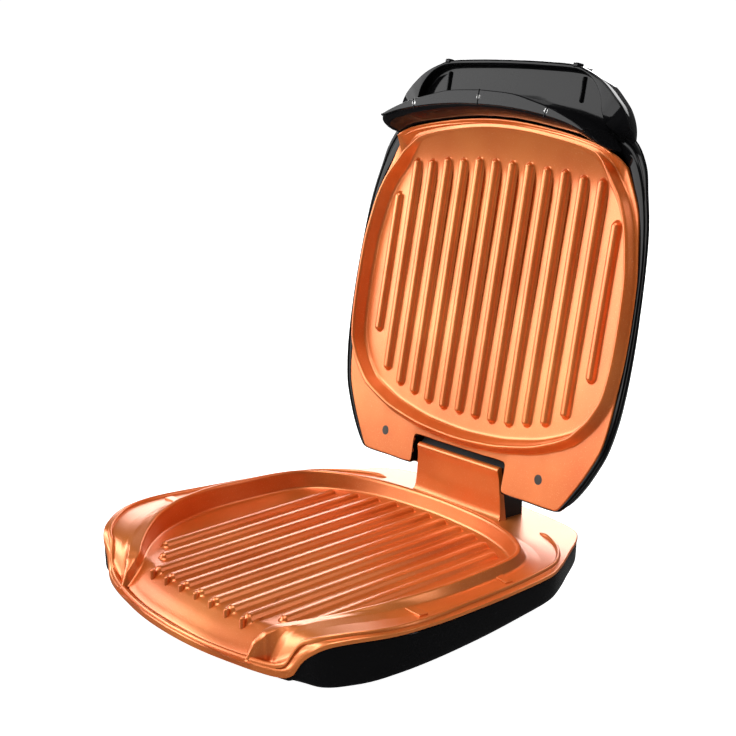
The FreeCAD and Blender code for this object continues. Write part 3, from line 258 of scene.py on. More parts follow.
def stageFinish():
    glow = {"Emission Color": (1, 1, 1, 1), "Emission Strength": 1.0}
    material, place, join = newMaterial("paleFloor", glow)
    join("Base Color", noise(place, 3, 2).mix((0.6, 0.6, 0.6, 1), (0.64, 0.64, 0.64, 1)))
    join("Roughness", 0.6 + noise(place, 5, 1) * 0.1)
    return material


stage = {
    "floorHalf": 6,
    # the white backdrop as the camera sees it, and the part of it that also lights the object
    "backdropSeen": 0.95,
    "backdropLight": 0.1,
}


def makeStage():
    bm = bmesh.new()
    bmesh.ops.create_grid(bm, x_segments=8, y_segments=8, size=stage["floorHalf"])
    mesh = bpy.data.meshes.new("floor")
    bm.to_mesh(mesh)
    bm.free()
    floor = bpy.data.objects.new("floor", mesh)
    mesh.materials.append(stageFinish())
    scene.collection.objects.link(floor)
    floor.visible_glossy = False
    world = bpy.data.worlds.new("studio")
    world.use_nodes = True
    sky = Link(world.node_tree)
    seen = sky.node("LightPath", out=0)
    backdrop = world.node_tree.nodes["Background"]
    strength = seen * stage["backdropSeen"] + stage["backdropLight"]
    world.node_tree.links.new(strength.socket, backdrop.inputs["Strength"])
    backdrop.inputs["Color"].default_value = (1, 1, 1, 1)
    scene.world = world
    scene.view_settings.view_transform = "Standard"


makeCamera()
makeLamps()
makeStage()
print("camera, lamps and floor are set")

copper = copperCoating()
gloss = glossBlack()
matte = matteBlack()
trimGloss = glossBlack("handleGloss", (0.0045, 0.0045, 0.005, 1), 0.06)
rubber = rubberBlack()
steel = metalFinish("brushedSteel", (0.50, 0.50, 0.50, 1), (0.66, 0.65, 0.63, 1), 0.24, (1, 12, 1))
darkSteel = metalFinish("darkSteel", (0.035, 0.033, 0.032, 1), (0.08, 0.075, 0.07, 1), 0.34)
shieldSheet = metalFinish("shieldSheet", (0.66, 0.66, 0.67, 1), (0.80, 0.80, 0.81, 1), 0.28, (12, 1, 1))
sheath = metalFinish("elementSheath", (0.10, 0.095, 0.09, 1), (0.26, 0.24, 0.22, 1), 0.38)
ceramic = ceramicFinish()
redLens = lensFinish("redLens", (0.35, 0.006, 0.004, 1), (0.62, 0.02, 0.012, 1))
greenLens = lensFinish("greenLens", (0.01, 0.22, 0.03, 1), (0.03, 0.42, 0.07, 1))
lampGlass = lensFinish("lampGlass", (0.75, 0.55, 0.35, 1), (0.95, 0.8, 0.6, 1))
print("finishes are mixed")

# drawing tools


def easedTable(table, at):
    # reads a table of (place, value) with its corners rounded
    rows = sorted(table)
    if at <= rows[0][0]:
        return rows[0][1]
    if at >= rows[-1][0]:
        return rows[-1][1]
    slopes = [(b[1] - a[1]) / (b[0] - a[0]) for a, b in zip(rows, rows[1:])]
    grades = [slopes[0]] + [
        2 * p * q / (p + q) if p * q > 0 else 0 for p, q in zip(slopes, slopes[1:])
    ] + [slopes[-1]]
    for i, (a, b) in enumerate(zip(rows, rows[1:])):
        if at <= b[0]:
            run = b[0] - a[0]
            t = (at - a[0]) / run
            return (
                a[1] * (2 * t ** 3 - 3 * t ** 2 + 1)
                + run * grades[i] * (t ** 3 - 2 * t ** 2 + t)
                + b[1] * (3 * t ** 2 - 2 * t ** 3)
                + run * grades[i + 1] * (t ** 3 - t ** 2)
            )


def smoothLine(points, steps, closed=False):
    # a curve through the points, with its handles a third of each span
    points = [Vector(p) for p in points]
    count = len(points)
    last = count if closed else count - 1
    tangents = []
    for i, point in enumerate(points):
        before = points[i - 1] if closed or i else point
        after = points[(i + 1) % count] if closed or i < count - 1 else point
        tangents.append((after - before).normalized())
    line = []
    for i in range(last):
        a, b = points[i], points[(i + 1) % count]
        reach = (b - a).length / 3
        c, d = a + tangents[i] * reach, b - tangents[(i + 1) % count] * reach
        for step in range(steps):
            t = step / steps
            near = a * (1 - t) ** 3 + c * 3 * t * (1 - t) ** 2
            line.append(near + d * 3 * t * t * (1 - t) + b * t ** 3)
    return line if closed else line + [points[-1]]


def mirrored(half):
    # the whole outline of a half that starts and ends on the middle line
    half = [Vector((*p, 0)) if len(p) == 2 else Vector(p) for p in half]
    return half + [Vector((-p.x, p.y, p.z)) for p in half[-2:0:-1]]


def outlineRing(half, steps=5):
    return smoothLine(mirrored(half), steps, True)


def spread(values, steps=5):
    # one value for each point of a ring, from one for each station of its half
    ring = outlineRing([(1 + i, v) for i, v in enumerate(values)], 1)
    out = []
    for i in range(len(ring)):
        a, b = ring[i].y, ring[(i + 1) % len(ring)].y
        out += [a + (b - a) * s / steps for s in range(steps)]
    return out


def grown(ring, distance):
    # each point moved out of the ring, square to it
    count = len(ring)
    distances = distance if isinstance(distance, list) else [distance] * count
    area = sum(a.x * b.y - b.x * a.y for a, b in zip(ring, ring[1:] + ring[:1]))
    side = 1 if area > 0 else -1
    out = []
    for i, p in enumerate(ring):
        run = ring[(i + 1) % count] - ring[i - 1]
        out.append(p + Vector((run.y, -run.x, 0)).normalized() * side * distances[i])
    return out


def raised(ring, height):
    heights = [height(p) for p in ring] if callable(height) else height
    if not isinstance(heights, list):
        heights = [heights] * len(ring)
    return [Vector((p.x, p.y, h)) for p, h in zip(ring, heights)]


def shrunk(ring, share, centre):
    # drawn in towards a centre, each point at its own height
    x, y = centre
    return [Vector((x + (p.x - x) * share, y + (p.y - y) * share, p.z)) for p in ring]


def skin(bm, rings, closeStart=True, closeEnd=True, flatEnds=False):
    # extrudes a ring of edges through the others and gathers each end to a point
    # flatEnds fills the ends with a face instead, for outlines that bend inwards
    turn = bm.verts.layers.int.get("turn") or bm.verts.layers.int.new("turn")
    verts = [bm.verts.new(p) for p in rings[0]]
    for i, vert in enumerate(verts):
        vert[turn] = i
    edges = [bm.edges.new(pair) for pair in zip(verts, verts[1:] + verts[:1])]
    first = list(edges)
    for ring in rings[1:]:
        edges = extrudeTo(bm, edges, ring, turn)
    if flatEnds:
        bmesh.ops.edgeloop_fill(bm, edges=edges)
        bmesh.ops.edgeloop_fill(bm, edges=first)
        return
    if closeEnd:
        gather(bm, edges, turn)
    if closeStart:
        gather(bm, first, turn)


def extrudeTo(bm, edges, ring, turn):
    made = bmesh.ops.extrude_edge_only(bm, edges=edges)["geom"]
    fresh = {g for g in made if isinstance(g, bmesh.types.BMVert)}
    for vert in fresh:
        vert.co = ring[vert[turn]]
    return [g for g in made if isinstance(g, bmesh.types.BMEdge) and set(g.verts) <= fresh]


def gather(bm, edges, turn):
    ends = {v[turn]: v.co.copy() for e in edges for v in e.verts}
    centre = sum(ends.values(), Vector()) / len(ends)
    tips = extrudeTo(bm, edges, {i: centre for i in ends}, turn)
    bmesh.ops.pointmerge(bm, verts=list({v for e in tips for v in e.verts}), merge_co=centre)


def slotRing(ends, radius, height, segments=20):
    # a slot's outline about the line between two ends
    a, b = Vector(ends[0]), Vector(ends[1])
    along = (b - a).normalized()
    across = Vector((along.y, -along.x, 0))
    ring = []
    for i in range(segments):
        turn = math.tau * (i + 0.5) / segments
        home = b if math.cos(turn) > 0 else a
        point = home + (along * math.cos(turn) + across * math.sin(turn)) * radius
        ring.append(Vector((point.x, point.y, height(point))))
    return ring


def ridge(bm, ends, floor, section):
    # a rib that flares into the floor it stands on; section is (reach from its line, height)
    rings = []
    for reach, rise in section:
        rings.append(slotRing(ends, reach, lambda p, r=rise: floor(p) + r))
    skin(bm, rings)


def sweep(bm, path, section, taper=0):
    # carries a section of (side, up) along a level path
    # taper is the number of points over which each end is drawn in
    rings = []
    for i, p in enumerate(path):
        run = path[min(i + 1, len(path) - 1)] - path[max(i - 1, 0)]
        side = Vector((run.y, -run.x, 0)).normalized()
        near = min(i, len(path) - 1 - i)
        share = 1 if not taper else min(1, (near + 0.4) / taper) ** 0.5
        rings.append([p + side * (u * share) + Vector((0, 0, w if w < 0 else w * share)) for u, w in section])
    skin(bm, rings)


def pit(bm, x, y, radius, depth, segments=28):
    # a round hole with a rounded edge, sunk into the level faces at height nought
    clear = radius + 0.6
    cover = []
    for face in bm.faces:
        across = [v.co.x for v in face.verts]
        along = [v.co.y for v in face.verts]
        level = max(abs(v.co.z) for v in face.verts) < 0.06
        near = min(across) < x + clear and max(across) > x - clear
        if level and near and min(along) < y - radius and max(along) > y + radius:
            cover.append(face)
    bmesh.ops.delete(bm, geom=cover, context="FACES")
    turns = [math.tau * i / segments for i in range(segments)]
    rings = []
    for reach, drop in ((0.5, 0), (0.42, 0.08), (0.05, 0.42), (0, 0.5), (0, depth)):
        wide = radius + reach
        rings.append([Vector((x + wide * math.cos(t), y + wide * math.sin(t), -drop)) for t in turns])
    skin(bm, rings, False, True)
    bmesh.ops.bridge_loops(bm, edges=[e for e in bm.edges if e.is_boundary])
    settle(bm)


def block(bm, size, at, edge, segments, tilt=None):
    made = bmesh.ops.create_cube(bm, size=1)["verts"]
    bmesh.ops.scale(bm, vec=size, verts=made)
    bevelAll(bm, made, edge, segments)
    made = freshVerts(bm)
    if tilt:
        bmesh.ops.rotate(bm, verts=made, matrix=tilt)
    bmesh.ops.translate(bm, vec=at, verts=made)
    settle(bm)


def freshVerts(bm):
    # what is not yet settled is what the last call made
    done = bm.verts.layers.int.get("done") or bm.verts.layers.int.new("done")
    return [v for v in bm.verts if not v[done]]


def settle(bm):
    done = bm.verts.layers.int.get("done") or bm.verts.layers.int.new("done")
    for v in bm.verts:
        v[done] = 1


def bevelAll(bm, verts, edge, segments):
    edges = list({e for v in verts for e in v.link_edges})
    bmesh.ops.bevel(
        bm, geom=edges, offset=edge, offset_type="OFFSET", segments=segments,
        profile=0.5, affect="EDGES", material=-1,
    )


def turned(bm, profile, at, steps, lean=None):
    # spins a profile of (radius, height) about its own upright axis
    chain = [bm.verts.new((r, 0, z)) for r, z in profile]
    edges = [bm.edges.new(pair) for pair in zip(chain, chain[1:])]
    bmesh.ops.spin(
        bm, geom=chain + edges, cent=(0, 0, 0), axis=(0, 0, 1),
        angle=math.tau, steps=steps, use_merge=True,
    )
    made = freshVerts(bm)
    if lean:
        bmesh.ops.rotate(bm, verts=made, matrix=lean)
    bmesh.ops.translate(bm, vec=at, verts=made)
    settle(bm)


def makePiece(bm, name, body, finish, stands, place, sharp):
    # closes the mesh, sets it in its frame and rides it on its body; sharp is the angle of a kept edge
    bmesh.ops.remove_doubles(bm, verts=bm.verts, dist=1e-5)
    bmesh.ops.transform(bm, matrix=place, verts=bm.verts)
    bmesh.ops.recalc_face_normals(bm, faces=bm.faces)
    mesh = bpy.data.meshes.new(name)
    bm.to_mesh(mesh)
    bm.free()
    mesh.shade_smooth()
    mesh.set_sharp_from_angle(angle=math.radians(sharp))
    piece = bpy.data.objects.new(name, mesh)
    scene.collection.objects.link(piece)
    mesh.materials.append(finish)
    soften = piece.modifiers.new("evenNormals", "WEIGHTED_NORMAL")
    soften.keep_sharp = True
    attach(piece, body)
    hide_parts(*stands)


# lower plate

plate = {
    # half outline of the copper flange, from the rear middle to the front middle
    "rim": [
        (0, 19.4), (30, 18.3), (58, 15.7), (79.5, 10.8), (89.5, 2.4), (102, -16.5), (114.5, -36.5),
        (121.2, -50.6), (125.4, -72.4), (130, -111), (131.9, -150), (128, -172), (116, -191),
        (107, -199.2), (97, -202.6), (87, -206.8), (74, -210.8), (60, -214), (30, -219.1), (0, -220.7),
    ],
    # the same stations on the middle line of the wall round the food well
    "fence": [
        (0, -26), (22, -27), (45, -29.5), (64, -34), (79, -39.8), (93.5, -49.5), (101, -60),
        (104.8, -74), (107, -92), (109, -121), (105.5, -146), (98.5, -165), (87, -181),
        (76, -192), (69, -197.6), (65.4, -202.8), (63.6, -208.6), (61.7, -212), (32, -216.4), (0, -217.5),
    ],
    "fenceTop": [
        40.4, 40.4, 40.4, 40.4, 40.4, 40.4, 40.4, 40.4, 40.1, 39.5, 37.9, 35.2, 31,
        27.6, 25.3, 22.6, 17, 7.6, 7.4, 7.4,
    ],
    # how far the wall's foot spreads, how broad its crest is to either side, and the dip beside its front end
    "footShare": [1] * 13 + [0.9, 0.8, 0.8, 0.8, 0.5, 0.35, 0.35],
    "crestOut": [1] * 9 + [1, 1, 1.2, 2.1, 3.2, 3.6, 3.2, 1.3, 0.5, 0.4, 0.35],
    "crestIn": [1] * 15 + [0.9, 0.6, 0.5, 0.35, 0.35],
    "valley": [0] * 12 + [0.6, 1.4, 2.6, 3.6, 1.6, 0, 0, 0],
    # where the wall's outer side runs out in a broad slope
    "slope": [0, 0, 0, 0.3, 0.7, 1, 1, 1, 1, 1, 1, 0.9, 0.6, 0.2, 0, 0, 0, 0, 0, 0],
    "slopeHigh": 1.1,
    # (distance from the wall's middle line, height over the slope)
    "slopeTop": [(5.2, 0.05), (4.4, 0.25), (3.8, 0.6), (3.4, 1.2)],
    "slopeLimit": 0.7,
    "crest": 1.7,
    # (distance, drop from the crest's top), outside and inside
    "crestOuter": [(1.75, 1.5), (1.45, 0.6), (0.9, 0.15), (0.3, 0)],
    "crestInner": [(-0.4, 0.02), (-1, 0.3), (-1.4, 0.9), (-1.7, 2)],
    # (distance, height over the well's floor)
    "innerFoot": [(-3, 1.8), (-3.4, 0.8), (-4, 0.25), (-4.8, 0.04)],
    # the most that a rounded edge takes of the wall's height
    "roundShare": 0.3,
    # (inset, share of the flange's thickness)
    "rimSection": [(0.5, 1), (0.1, 0.93), (0, 0.8), (0, 0.25), (0.15, 0.1), (0.55, 0), (0.9, 0)],
    "under": 3.2,
    "centre": (0, -120),
    # where the floor's rings lie between the wall's foot and the centre
    "floorShares": (0.975, 0.955, 0.935, 0.917, 0.903, 0.892, 0.883, 0.875, 0.866, 0.84, 0.8, 0.5),
    "flangeTop": [
        (20, 33.2), (-100, 33.2), (-150, 33.2), (-172, 32.6), (-182, 31.7), (-191, 30), (-195.5, 28.5),
        (-199.2, 25.6), (-201, 22.4), (-202.6, 17.4), (-204.5, 11.4), (-206.8, 8.8), (-209, 8.1), (-222, 7.3),
    ],
    "edgeThick": [
        (20, 2), (-150, 2), (-182, 2.4), (-199.2, 2.6),
        (-202.6, 3.4), (-204.5, 4.6), (-208, 4.4), (-222, 4.2),
    ],
    "floorRear": (-45, 29.5),
    "floorSlope": 0.05696,
    "chuteDrop": [(0, 12.25), (1.5, 11.5), (4.5, 9.4), (10, 4.7), (16, 0.5), (16.5, 0.16), (16.9, 0)],
    "chuteFront": -217.5,
    "chuteBow": (61.6, 5.6),
    "bead": [
        (70.8, -9.4), (79.8, -11.5), (92.8, -18.6), (103.5, -28), (111.8, -39.6), (116.9, -56.7),
        (121.4, -82.6), (124.6, -113), (127.5, -147), (124, -170), (112.5, -187.6), (103.5, -196.3),
        (94, -200.4), (84.5, -205.2), (60, -212), (30, -217.1), (0, -218.9),
    ],
    "beadSection": [
        (-1.5, -0.8), (-1.25, 0.3), (-0.9, 1.2), (-0.35, 1.7),
        (0.35, 1.7), (0.9, 1.2), (1.25, 0.3), (1.5, -0.8),
    ],
    "ribSection": [
        (4.6, -0.5), (4.2, 0.02), (3.6, 0.2), (3.1, 0.8), (2.75, 1.7), (2.2, 2.45), (1.3, 2.8), (0.5, 2.85),
    ],
    # distance from the middle: rear end, front end
    "ribs": {
        0: (-36.5, -197.6), 15: (-36.8, -197.6), 30: (-38, -197.6), 45: (-40.5, -197.6),
        60: (-45, -185), 75: (-52, -174.5),
    },
    "knobs": (0, 15, 30, 45),
    "knobAt": -202,
    "knobSection": [
        (0, -7), (1.7, -7), (1.65, -1), (1.6, 0.6), (1.45, 1.3), (1.05, 1.8), (0.5, 2.05), (0, 2.1),
    ],
}


def flangeTop(p):
    return easedTable(plate["flangeTop"], p.y)


def wellFloor(p):
    bowHalf, bow = plate["chuteBow"]
    front = plate["chuteFront"] + bow * (p.x / bowHalf) ** 2
    y, top = plate["floorRear"]
    flat = top + (p.y - y) * plate["floorSlope"]
    return flat - easedTable(plate["chuteDrop"], p.y - front)


def lowerCasting(bm):
    rim = outlineRing(plate["rim"])
    fence = outlineRing(plate["fence"])
    top = spread(plate["fenceTop"])
    shares = ("footShare", "crestOut", "crestIn", "valley", "slope")
    foot, outside, inside, valley, slope = (spread(plate[key]) for key in shares)
    under, centre, crest = plate["under"], plate["centre"], plate["crest"]

    def off(distance):
        # the crest's breadth and the foot's spread are taken one after the other
        wide = outside if distance > 0 else inside
        near = max(-crest, min(crest, distance))
        return grown(fence, [near * w + (distance - near) * f for w, f in zip(wide, foot)])

    def onWall(distance, rise, drop, base):
        # a ring on the wall: rise from its foot or drop from its top, whichever is given
        ring = off(distance)
        heights = []
        for p, high in zip(ring, top):
            low = min(base(p), high)
            room = (high - low) * plate["roundShare"]
            heights.append(low + min(rise, room) if drop is None else high - min(drop, room))
        return raised(ring, heights)

    def dipped(ring, dip, rise=0):
        # a ring on the flange, lowered in the valley by the lip and lifted on the slope
        lift = plate["slopeHigh"] * rise
        heights = [flangeTop(p) - deep * dip + lift * s for p, deep, s in zip(ring, valley, slope)]
        return raised(ring, heights)

    def slopeFoot(beyond, rise):
        near, far = off(7 + beyond), off(12 + beyond)
        return dipped([a.lerp(b, s) for a, b, s in zip(near, far, slope)], 0.4, rise)

    def slopeTop(distance, rise):
        ring = dipped(off(distance), 1, 1)
        heights = []
        for p, high in zip(ring, top):
            limit = max(high - plate["slopeLimit"] * (high - p.z), p.z)
            heights.append(min(p.z + rise, limit))
        return raised(ring, heights)

    def edge(inset, drop):
        ring = grown(rim, -inset)
        return raised(ring, [flangeTop(p) - easedTable(plate["edgeThick"], p.y) * drop for p in ring])

    rings = [
        raised(shrunk(off(-6), 0.8, centre), lambda p: wellFloor(p) - under),
        raised(off(-6), lambda p: wellFloor(p) - under),
        raised(off(3), lambda p: min(flangeTop(p), wellFloor(p) + 4) - under),
        raised(grown(rim, -3), lambda p: flangeTop(p) - 2.4),
    ]
    rings += [edge(*step) for step in plate["rimSection"]]
    rings += [slopeFoot(0.6, 0), slopeFoot(0, 0.15), dipped(off(5.8), 0.95, 0.8)]
    rings += [slopeTop(*step) for step in plate["slopeTop"]]
    rings += [onWall(distance, 0, drop, flangeTop) for distance, drop in plate["crestOuter"]]
    rings += [onWall(distance, 0, drop, wellFloor) for distance, drop in plate["crestInner"]]
    rings += [onWall(distance, rise, None, wellFloor) for distance, rise in plate["innerFoot"]]
    rings += [raised(shrunk(off(-6), share, centre), wellFloor) for share in (1, *plate["floorShares"])]
    skin(bm, rings)
    settle(bm)


def lowerDetails(bm):
    half = smoothLine([(*p, 0) for p in plate["bead"]], 6)
    path = half + [Vector((-p.x, p.y, 0)) for p in half[-2::-1]]
    path = [Vector((p.x, p.y, flangeTop(p))) for p in path]
    sweep(bm, path, plate["beadSection"], 4)
    settle(bm)
    for x, (rear, front) in plate["ribs"].items():
        for side in ((1, -1) if x else (1,)):
            ends = ((x * side, rear, 0), (x * side, front, 0))
            ridge(bm, ends, wellFloor, plate["ribSection"])
    settle(bm)
    knobFoot = wellFloor(Vector((0, plate["ribs"][0][1], 0)))
    for x in plate["knobs"]:
        for side in ((1, -1) if x else (1,)):
            turned(bm, plate["knobSection"], (x * side, plate["knobAt"], knobFoot), 20)


lugs = {
    # outer end, y, inner end, the top's height and how far it slants
    "places": ((122.4, -144, 109.3, 34.6, 0.3), (117, -79, 104, 36, 1.8)),
    "wide": 5.6,
    "low": 29.5,
    "edge": 0.5,
}


def plateLugs(bm):
    for outer, y, inner, high, slant in lugs["places"]:
        for side in (1, -1):
            made = bmesh.ops.create_cube(bm, size=1)["verts"]
            middle = (outer + inner) / 2
            bmesh.ops.scale(bm, vec=(outer - inner, lugs["wide"], high - lugs["low"]), verts=made)
            bmesh.ops.translate(bm, vec=(side * middle, y, (high + lugs["low"]) / 2), verts=made)
            for v in made:
                if v.co.z > lugs["low"] + 1 and abs(v.co.x) > middle:
                    v.co.z -= slant
            bevelAll(bm, made, lugs["edge"], 3)
    settle(bm)


shroud = {
    "halfTop": 36.4,
    "halfFoot": 39.4,
    "foot": 31,
    "top": 65.4,
    # how far the foot flares, and over what height
    "flare": (1.6, 8),
    "edge": 0.6,
    # (y, z) round the section, from the back of the foot up over the top to the front of the foot
    "section": [
        (-8.0, 31), (-8.0, 62), (-8.1, 64.2), (-8.7, 65.1), (-9.6, 65.4), (-10.8, 65.2), (-11.7, 64.5),
        (-12.1, 63.4), (-12.0, 62), (-11.5, 60), (-11.2, 57), (-11.1, 45), (-11.4, 38), (-12.2, 35),
        (-13.6, 33.4), (-15.6, 32.6), (-16.6, 31),
    ],
}


def hingeShroud(bm):
    reach, over = shroud["flare"]
    edge = shroud["edge"]

    def across(side, inset):
        # the outermost ring is drawn in, so that the end's edge is eased
        ring = []
        for y, z in shroud["section"]:
            share = (z - shroud["foot"]) / (shroud["top"] - shroud["foot"])
            half = shroud["halfFoot"] + (shroud["halfTop"] - shroud["halfFoot"]) * share
            flare = reach * max(0, 1 - (z - shroud["foot"]) / over) ** 2
            ease = 0 if inset else (0.25 if y < -9 else -0.1)
            ring.append(Vector((side * (half + flare - inset), y + ease, z)))
        return ring

    rings = [across(-1, 0), across(-1, edge), across(1, edge), across(1, 0)]
    skin(bm, rings, flatEnds=True)
    settle(bm)


def makeLowerPlate():
    bm = bmesh.new()
    lowerCasting(bm)
    lowerDetails(bm)
    plateLugs(bm)
    hingeShroud(bm)
    makePiece(bm, "lowerPlate", "base", copper, ["lower_grill_plate"], baseFrame, 50)


makeLowerPlate()
print("lower plate is cast")

# base shell and cover

shell = {
    "low": [
        (20, 17), (-20, 16.4), (-53, 16), (-110, 13), (-150, 10.9),
        (-165, 9.4), (-185, 5.3), (-200, 3.2), (-222, 3),
    ],
    "inset": 0.5,
    "frontCut": -208.3,
    "frontHalf": 88,
    # the front narrows by this share for each millimetre past this place
    "frontTaper": (-205, 0.02),
    # how far its top is under the flange, and how much more behind the lip
    "topGap": 2.3,
    "lipGap": 4.5,
    "lipFrom": (94, -198),
    "lipBlend": 4,
    "lowest": 1.6,
    # round its wall: (inset, share of its height, shift)
    "section": [
        (4.2, 0, 2.2), (4.2, 1, -0.4), (3.8, 1, -0.1), (1.4, 1, 0), (0.7, 1, -0.15), (0.25, 1, -0.6),
        (0.05, 1, -1.2), (0, 0.75, 0), (0.1, 0.5, 0), (0.35, 0.22, 0), (0.7, 0, 2.2), (1.2, 0, 1.1),
        (2.0, 0, 0.35), (3.0, 0, 0), (3.8, 0, 0), (4.2, 0, 0.4), (4.2, 0, 2.2),
    ],
}


def shellLow(p):
    return easedTable(shell["low"], p.y)


def shellTop(p):
    x, y = shell["lipFrom"]
    blend = shell["lipBlend"]
    behindLip = min(1, max(0, (y - p.y) / blend)) * min(1, max(0, (x - abs(p.x)) / blend))
    top = flangeTop(p) - shell["topGap"] - shell["lipGap"] * behindLip
    return max(top, shellLow(p) + shell["lowest"])


def baseLine():
    # the flange's outline with its front cut square under the lip
    start, taper = shell["frontTaper"]
    line = []
    for x, y in plate["rim"]:
        if y < start:
            x = min(x, shell["frontHalf"] * (1 - taper * (start - y)))
        line.append((x, max(y, shell["frontCut"])))
    return line


def makeBaseShell():
    ring = outlineRing(baseLine())
    bm = bmesh.new()

    def level(inset, share, shift):
        out = grown(ring, -shell["inset"] - inset)
        return raised(out, [shellLow(p) + (shellTop(p) - shellLow(p)) * share + shift for p in out])

    # the last ring lies on the first, and the two are merged
    skin(bm, [level(*step) for step in shell["section"]], False, False)
    makePiece(bm, "baseShell", "base", gloss, ["base_housing"], baseFrame, 60)


cover = {
    # round its edge, from below to above: (inset, height over the shell's lower edge)
    "section": [(9, 0.9), (6.4, 0.9), (5.6, 0.5), (4.9, 0.6), (4.4, 1.1), (4.3, 3.0), (4.6, 3.2), (9, 3.2)],
    "centre": (0, -100),
    "panelShare": 0.5,
}


def makeBaseCover():
    ring = outlineRing(baseLine())
    bm = bmesh.new()

    def level(inset, rise, share=1):
        out = grown(ring, -shell["inset"] - inset)
        return raised(shrunk(out, share, cover["centre"]), lambda p: shellLow(p) + rise)

    section = cover["section"]
    rings = [level(*section[0], cover["panelShare"])]
    rings += [level(*step) for step in section]
    rings += [level(*section[-1], cover["panelShare"])]
    skin(bm, rings)
    makePiece(bm, "baseCover", "base", matte, ["bottom_cover"], baseFrame, 50)


makeBaseShell()
makeBaseCover()
print("base shell and cover are moulded")

# lid plate

lidPlate = {
    "edge": [
        (0, 18.2), (20, 18.2), (39.2, 18.2), (41, 16.4), (41, 2), (43, 0), (64, 0), (85.3, 0), (88.6, 1.6),
        (97.6, 14.2), (106.7, 29), (113.2, 44), (116.5, 68), (117.5, 100), (116.7, 139), (113.4, 160),
        (110.2, 174), (104, 186.5), (97.4, 198.6), (92.6, 204.6), (77, 210.4), (38, 216.6), (0, 219),
    ],
    "edgeHigh": [0] * 17 + [0.2, 1.4, 8.8, 10.2, 11.3, 11.6],
    "crest": [
        (0, 25), (18, 25.7), (35, 27.1), (39.5, 27.8), (44, 28.6), (48.5, 29.4), (65, 33),
        (80, 38.4), (84, 40.1), (91.5, 44), (98.5, 50.6), (104.5, 57.6), (111.2, 71), (113.9, 96),
        (113.0, 134), (110.2, 150), (106.4, 165), (100.3, 178), (92.4, 188), (86, 196), (74, 205.4),
        (38, 212), (0, 214.5),
    ],
    # how broad the wall is at each station, and the shares between which its crest rises out of the cove
    "crestShare": [1] * 18 + [1, 0.85, 0.5, 0.3, 0.3],
    "crestRise": (0.3, 0.9),
    "crestTop": 5.8,
    "thick": 2.4,
    "centre": (0, 120),
    # (inset, drop) round the flange's edge, from below to above
    "rimSection": [
        (2.4, 2.2), (0.4, 2.2), (0.1, 2.0), (0, 1.7), (0, 0.5), (0.15, 0.15), (0.5, 0), (0.9, 0),
    ],
    # (distance from the wall's middle line, height over its foot)
    "outerFoot": [(5.0, 0.04), (4.2, 0.2), (3.6, 0.7), (3.2, 1.6)],
    "innerFoot": [(-3.2, 1.6), (-3.7, 0.7), (-4.3, 0.2), (-5.2, 0.04)],
    # (distance, drop from the crest's top)
    "crestOuter": [(1.9, 1.6), (1.5, 0.6), (0.9, 0.12), (0.2, 0)],
    "crestInner": [(-0.4, 0.12), (-0.9, 0.6), (-1.3, 1.5)],
    "roundShare": 0.3,
    "floorShares": (0.98, 0.955, 0.93, 0.905, 0.88, 0.855, 0.83, 0.8, 0.76, 0.72, 0.66, 0.4),
    "flare": [(0, 0), (190, 0), (200, 1.7), (208, 5), (214, 8.3), (219, 11.6)],
    "cove": [(176, -3), (184, -2.6), (190, -1.6), (196, 0.1), (202, 2.3), (208, 5), (214, 8.3), (219, 11.6)],
    "ribSection": [
        (4.4, -0.5), (4.0, 0.02), (3.5, 0.2), (3.1, 0.8), (2.75, 1.75), (2.15, 2.6), (1.25, 3.0), (0.5, 3.1),
    ],
    # distance from the middle: rear end, front end
    "ribs": {
        7.25: (41.5, 192.5), 21.75: (41.5, 192.5), 36.25: (42.5, 191), 50.75: (45.4, 190.6),
        65.25: (48.6, 188.4), 79.75: (56.1, 187.8), 94.25: (79.6, 165.4),
    },
    # x, v, radius and depth of the screw holes
    "hole": (69.6, 14.6, 2.6, 2.1),
}


def lidWell(p):
    return easedTable(lidPlate["cove"], p.y)


def lidFlange(p):
    return easedTable(lidPlate["flare"], p.y)


def lidCasting(bm):
    edge = outlineRing(lidPlate["edge"])
    edgeHigh = spread(lidPlate["edgeHigh"])
    crest = outlineRing(lidPlate["crest"])
    share = spread(lidPlate["crestShare"])
    thick, centre = lidPlate["thick"], lidPlate["centre"]
    start, end = lidPlate["crestRise"]

    def off(distance):
        return grown(crest, [distance * s for s in share])

    def onWall(distance, rise, drop, base):
        # a ring on the wall: rise from its foot or drop from its top, whichever is given
        ring = off(distance)
        heights = []
        for p, line, s in zip(ring, crest, share):
            risen = min(1, max(0, (s - start) / (end - start)))
            high = lidPlate["crestTop"] * risen + lidWell(line) * (1 - risen)
            foot = min(base(p), high)
            room = (high - foot) * lidPlate["roundShare"]
            heights.append(foot + min(rise, room) if drop is None else high - min(drop, room))
        return raised(ring, heights)

    def rim(inset, drop):
        return raised(grown(edge, -inset), [h - drop for h in edgeHigh])

    rings = [
        raised(shrunk(off(-6), 0.8, centre), lambda p: lidWell(p) - thick),
        raised(off(-6), lambda p: lidWell(p) - thick),
        raised(off(3), lambda p: lidFlange(p) - thick),
    ]
    rings += [rim(*step) for step in lidPlate["rimSection"]]
    rings += [onWall(distance, rise, None, lidFlange) for distance, rise in lidPlate["outerFoot"]]
    rings += [onWall(distance, 0, drop, lidFlange) for distance, drop in lidPlate["crestOuter"]]
    rings += [onWall(distance, 0, drop, lidWell) for distance, drop in lidPlate["crestInner"]]
    rings += [onWall(distance, rise, None, lidWell) for distance, rise in lidPlate["innerFoot"]]
    rings += [raised(shrunk(off(-6), scale, centre), lidWell) for scale in (1, *lidPlate["floorShares"])]
    skin(bm, rings)
    settle(bm)


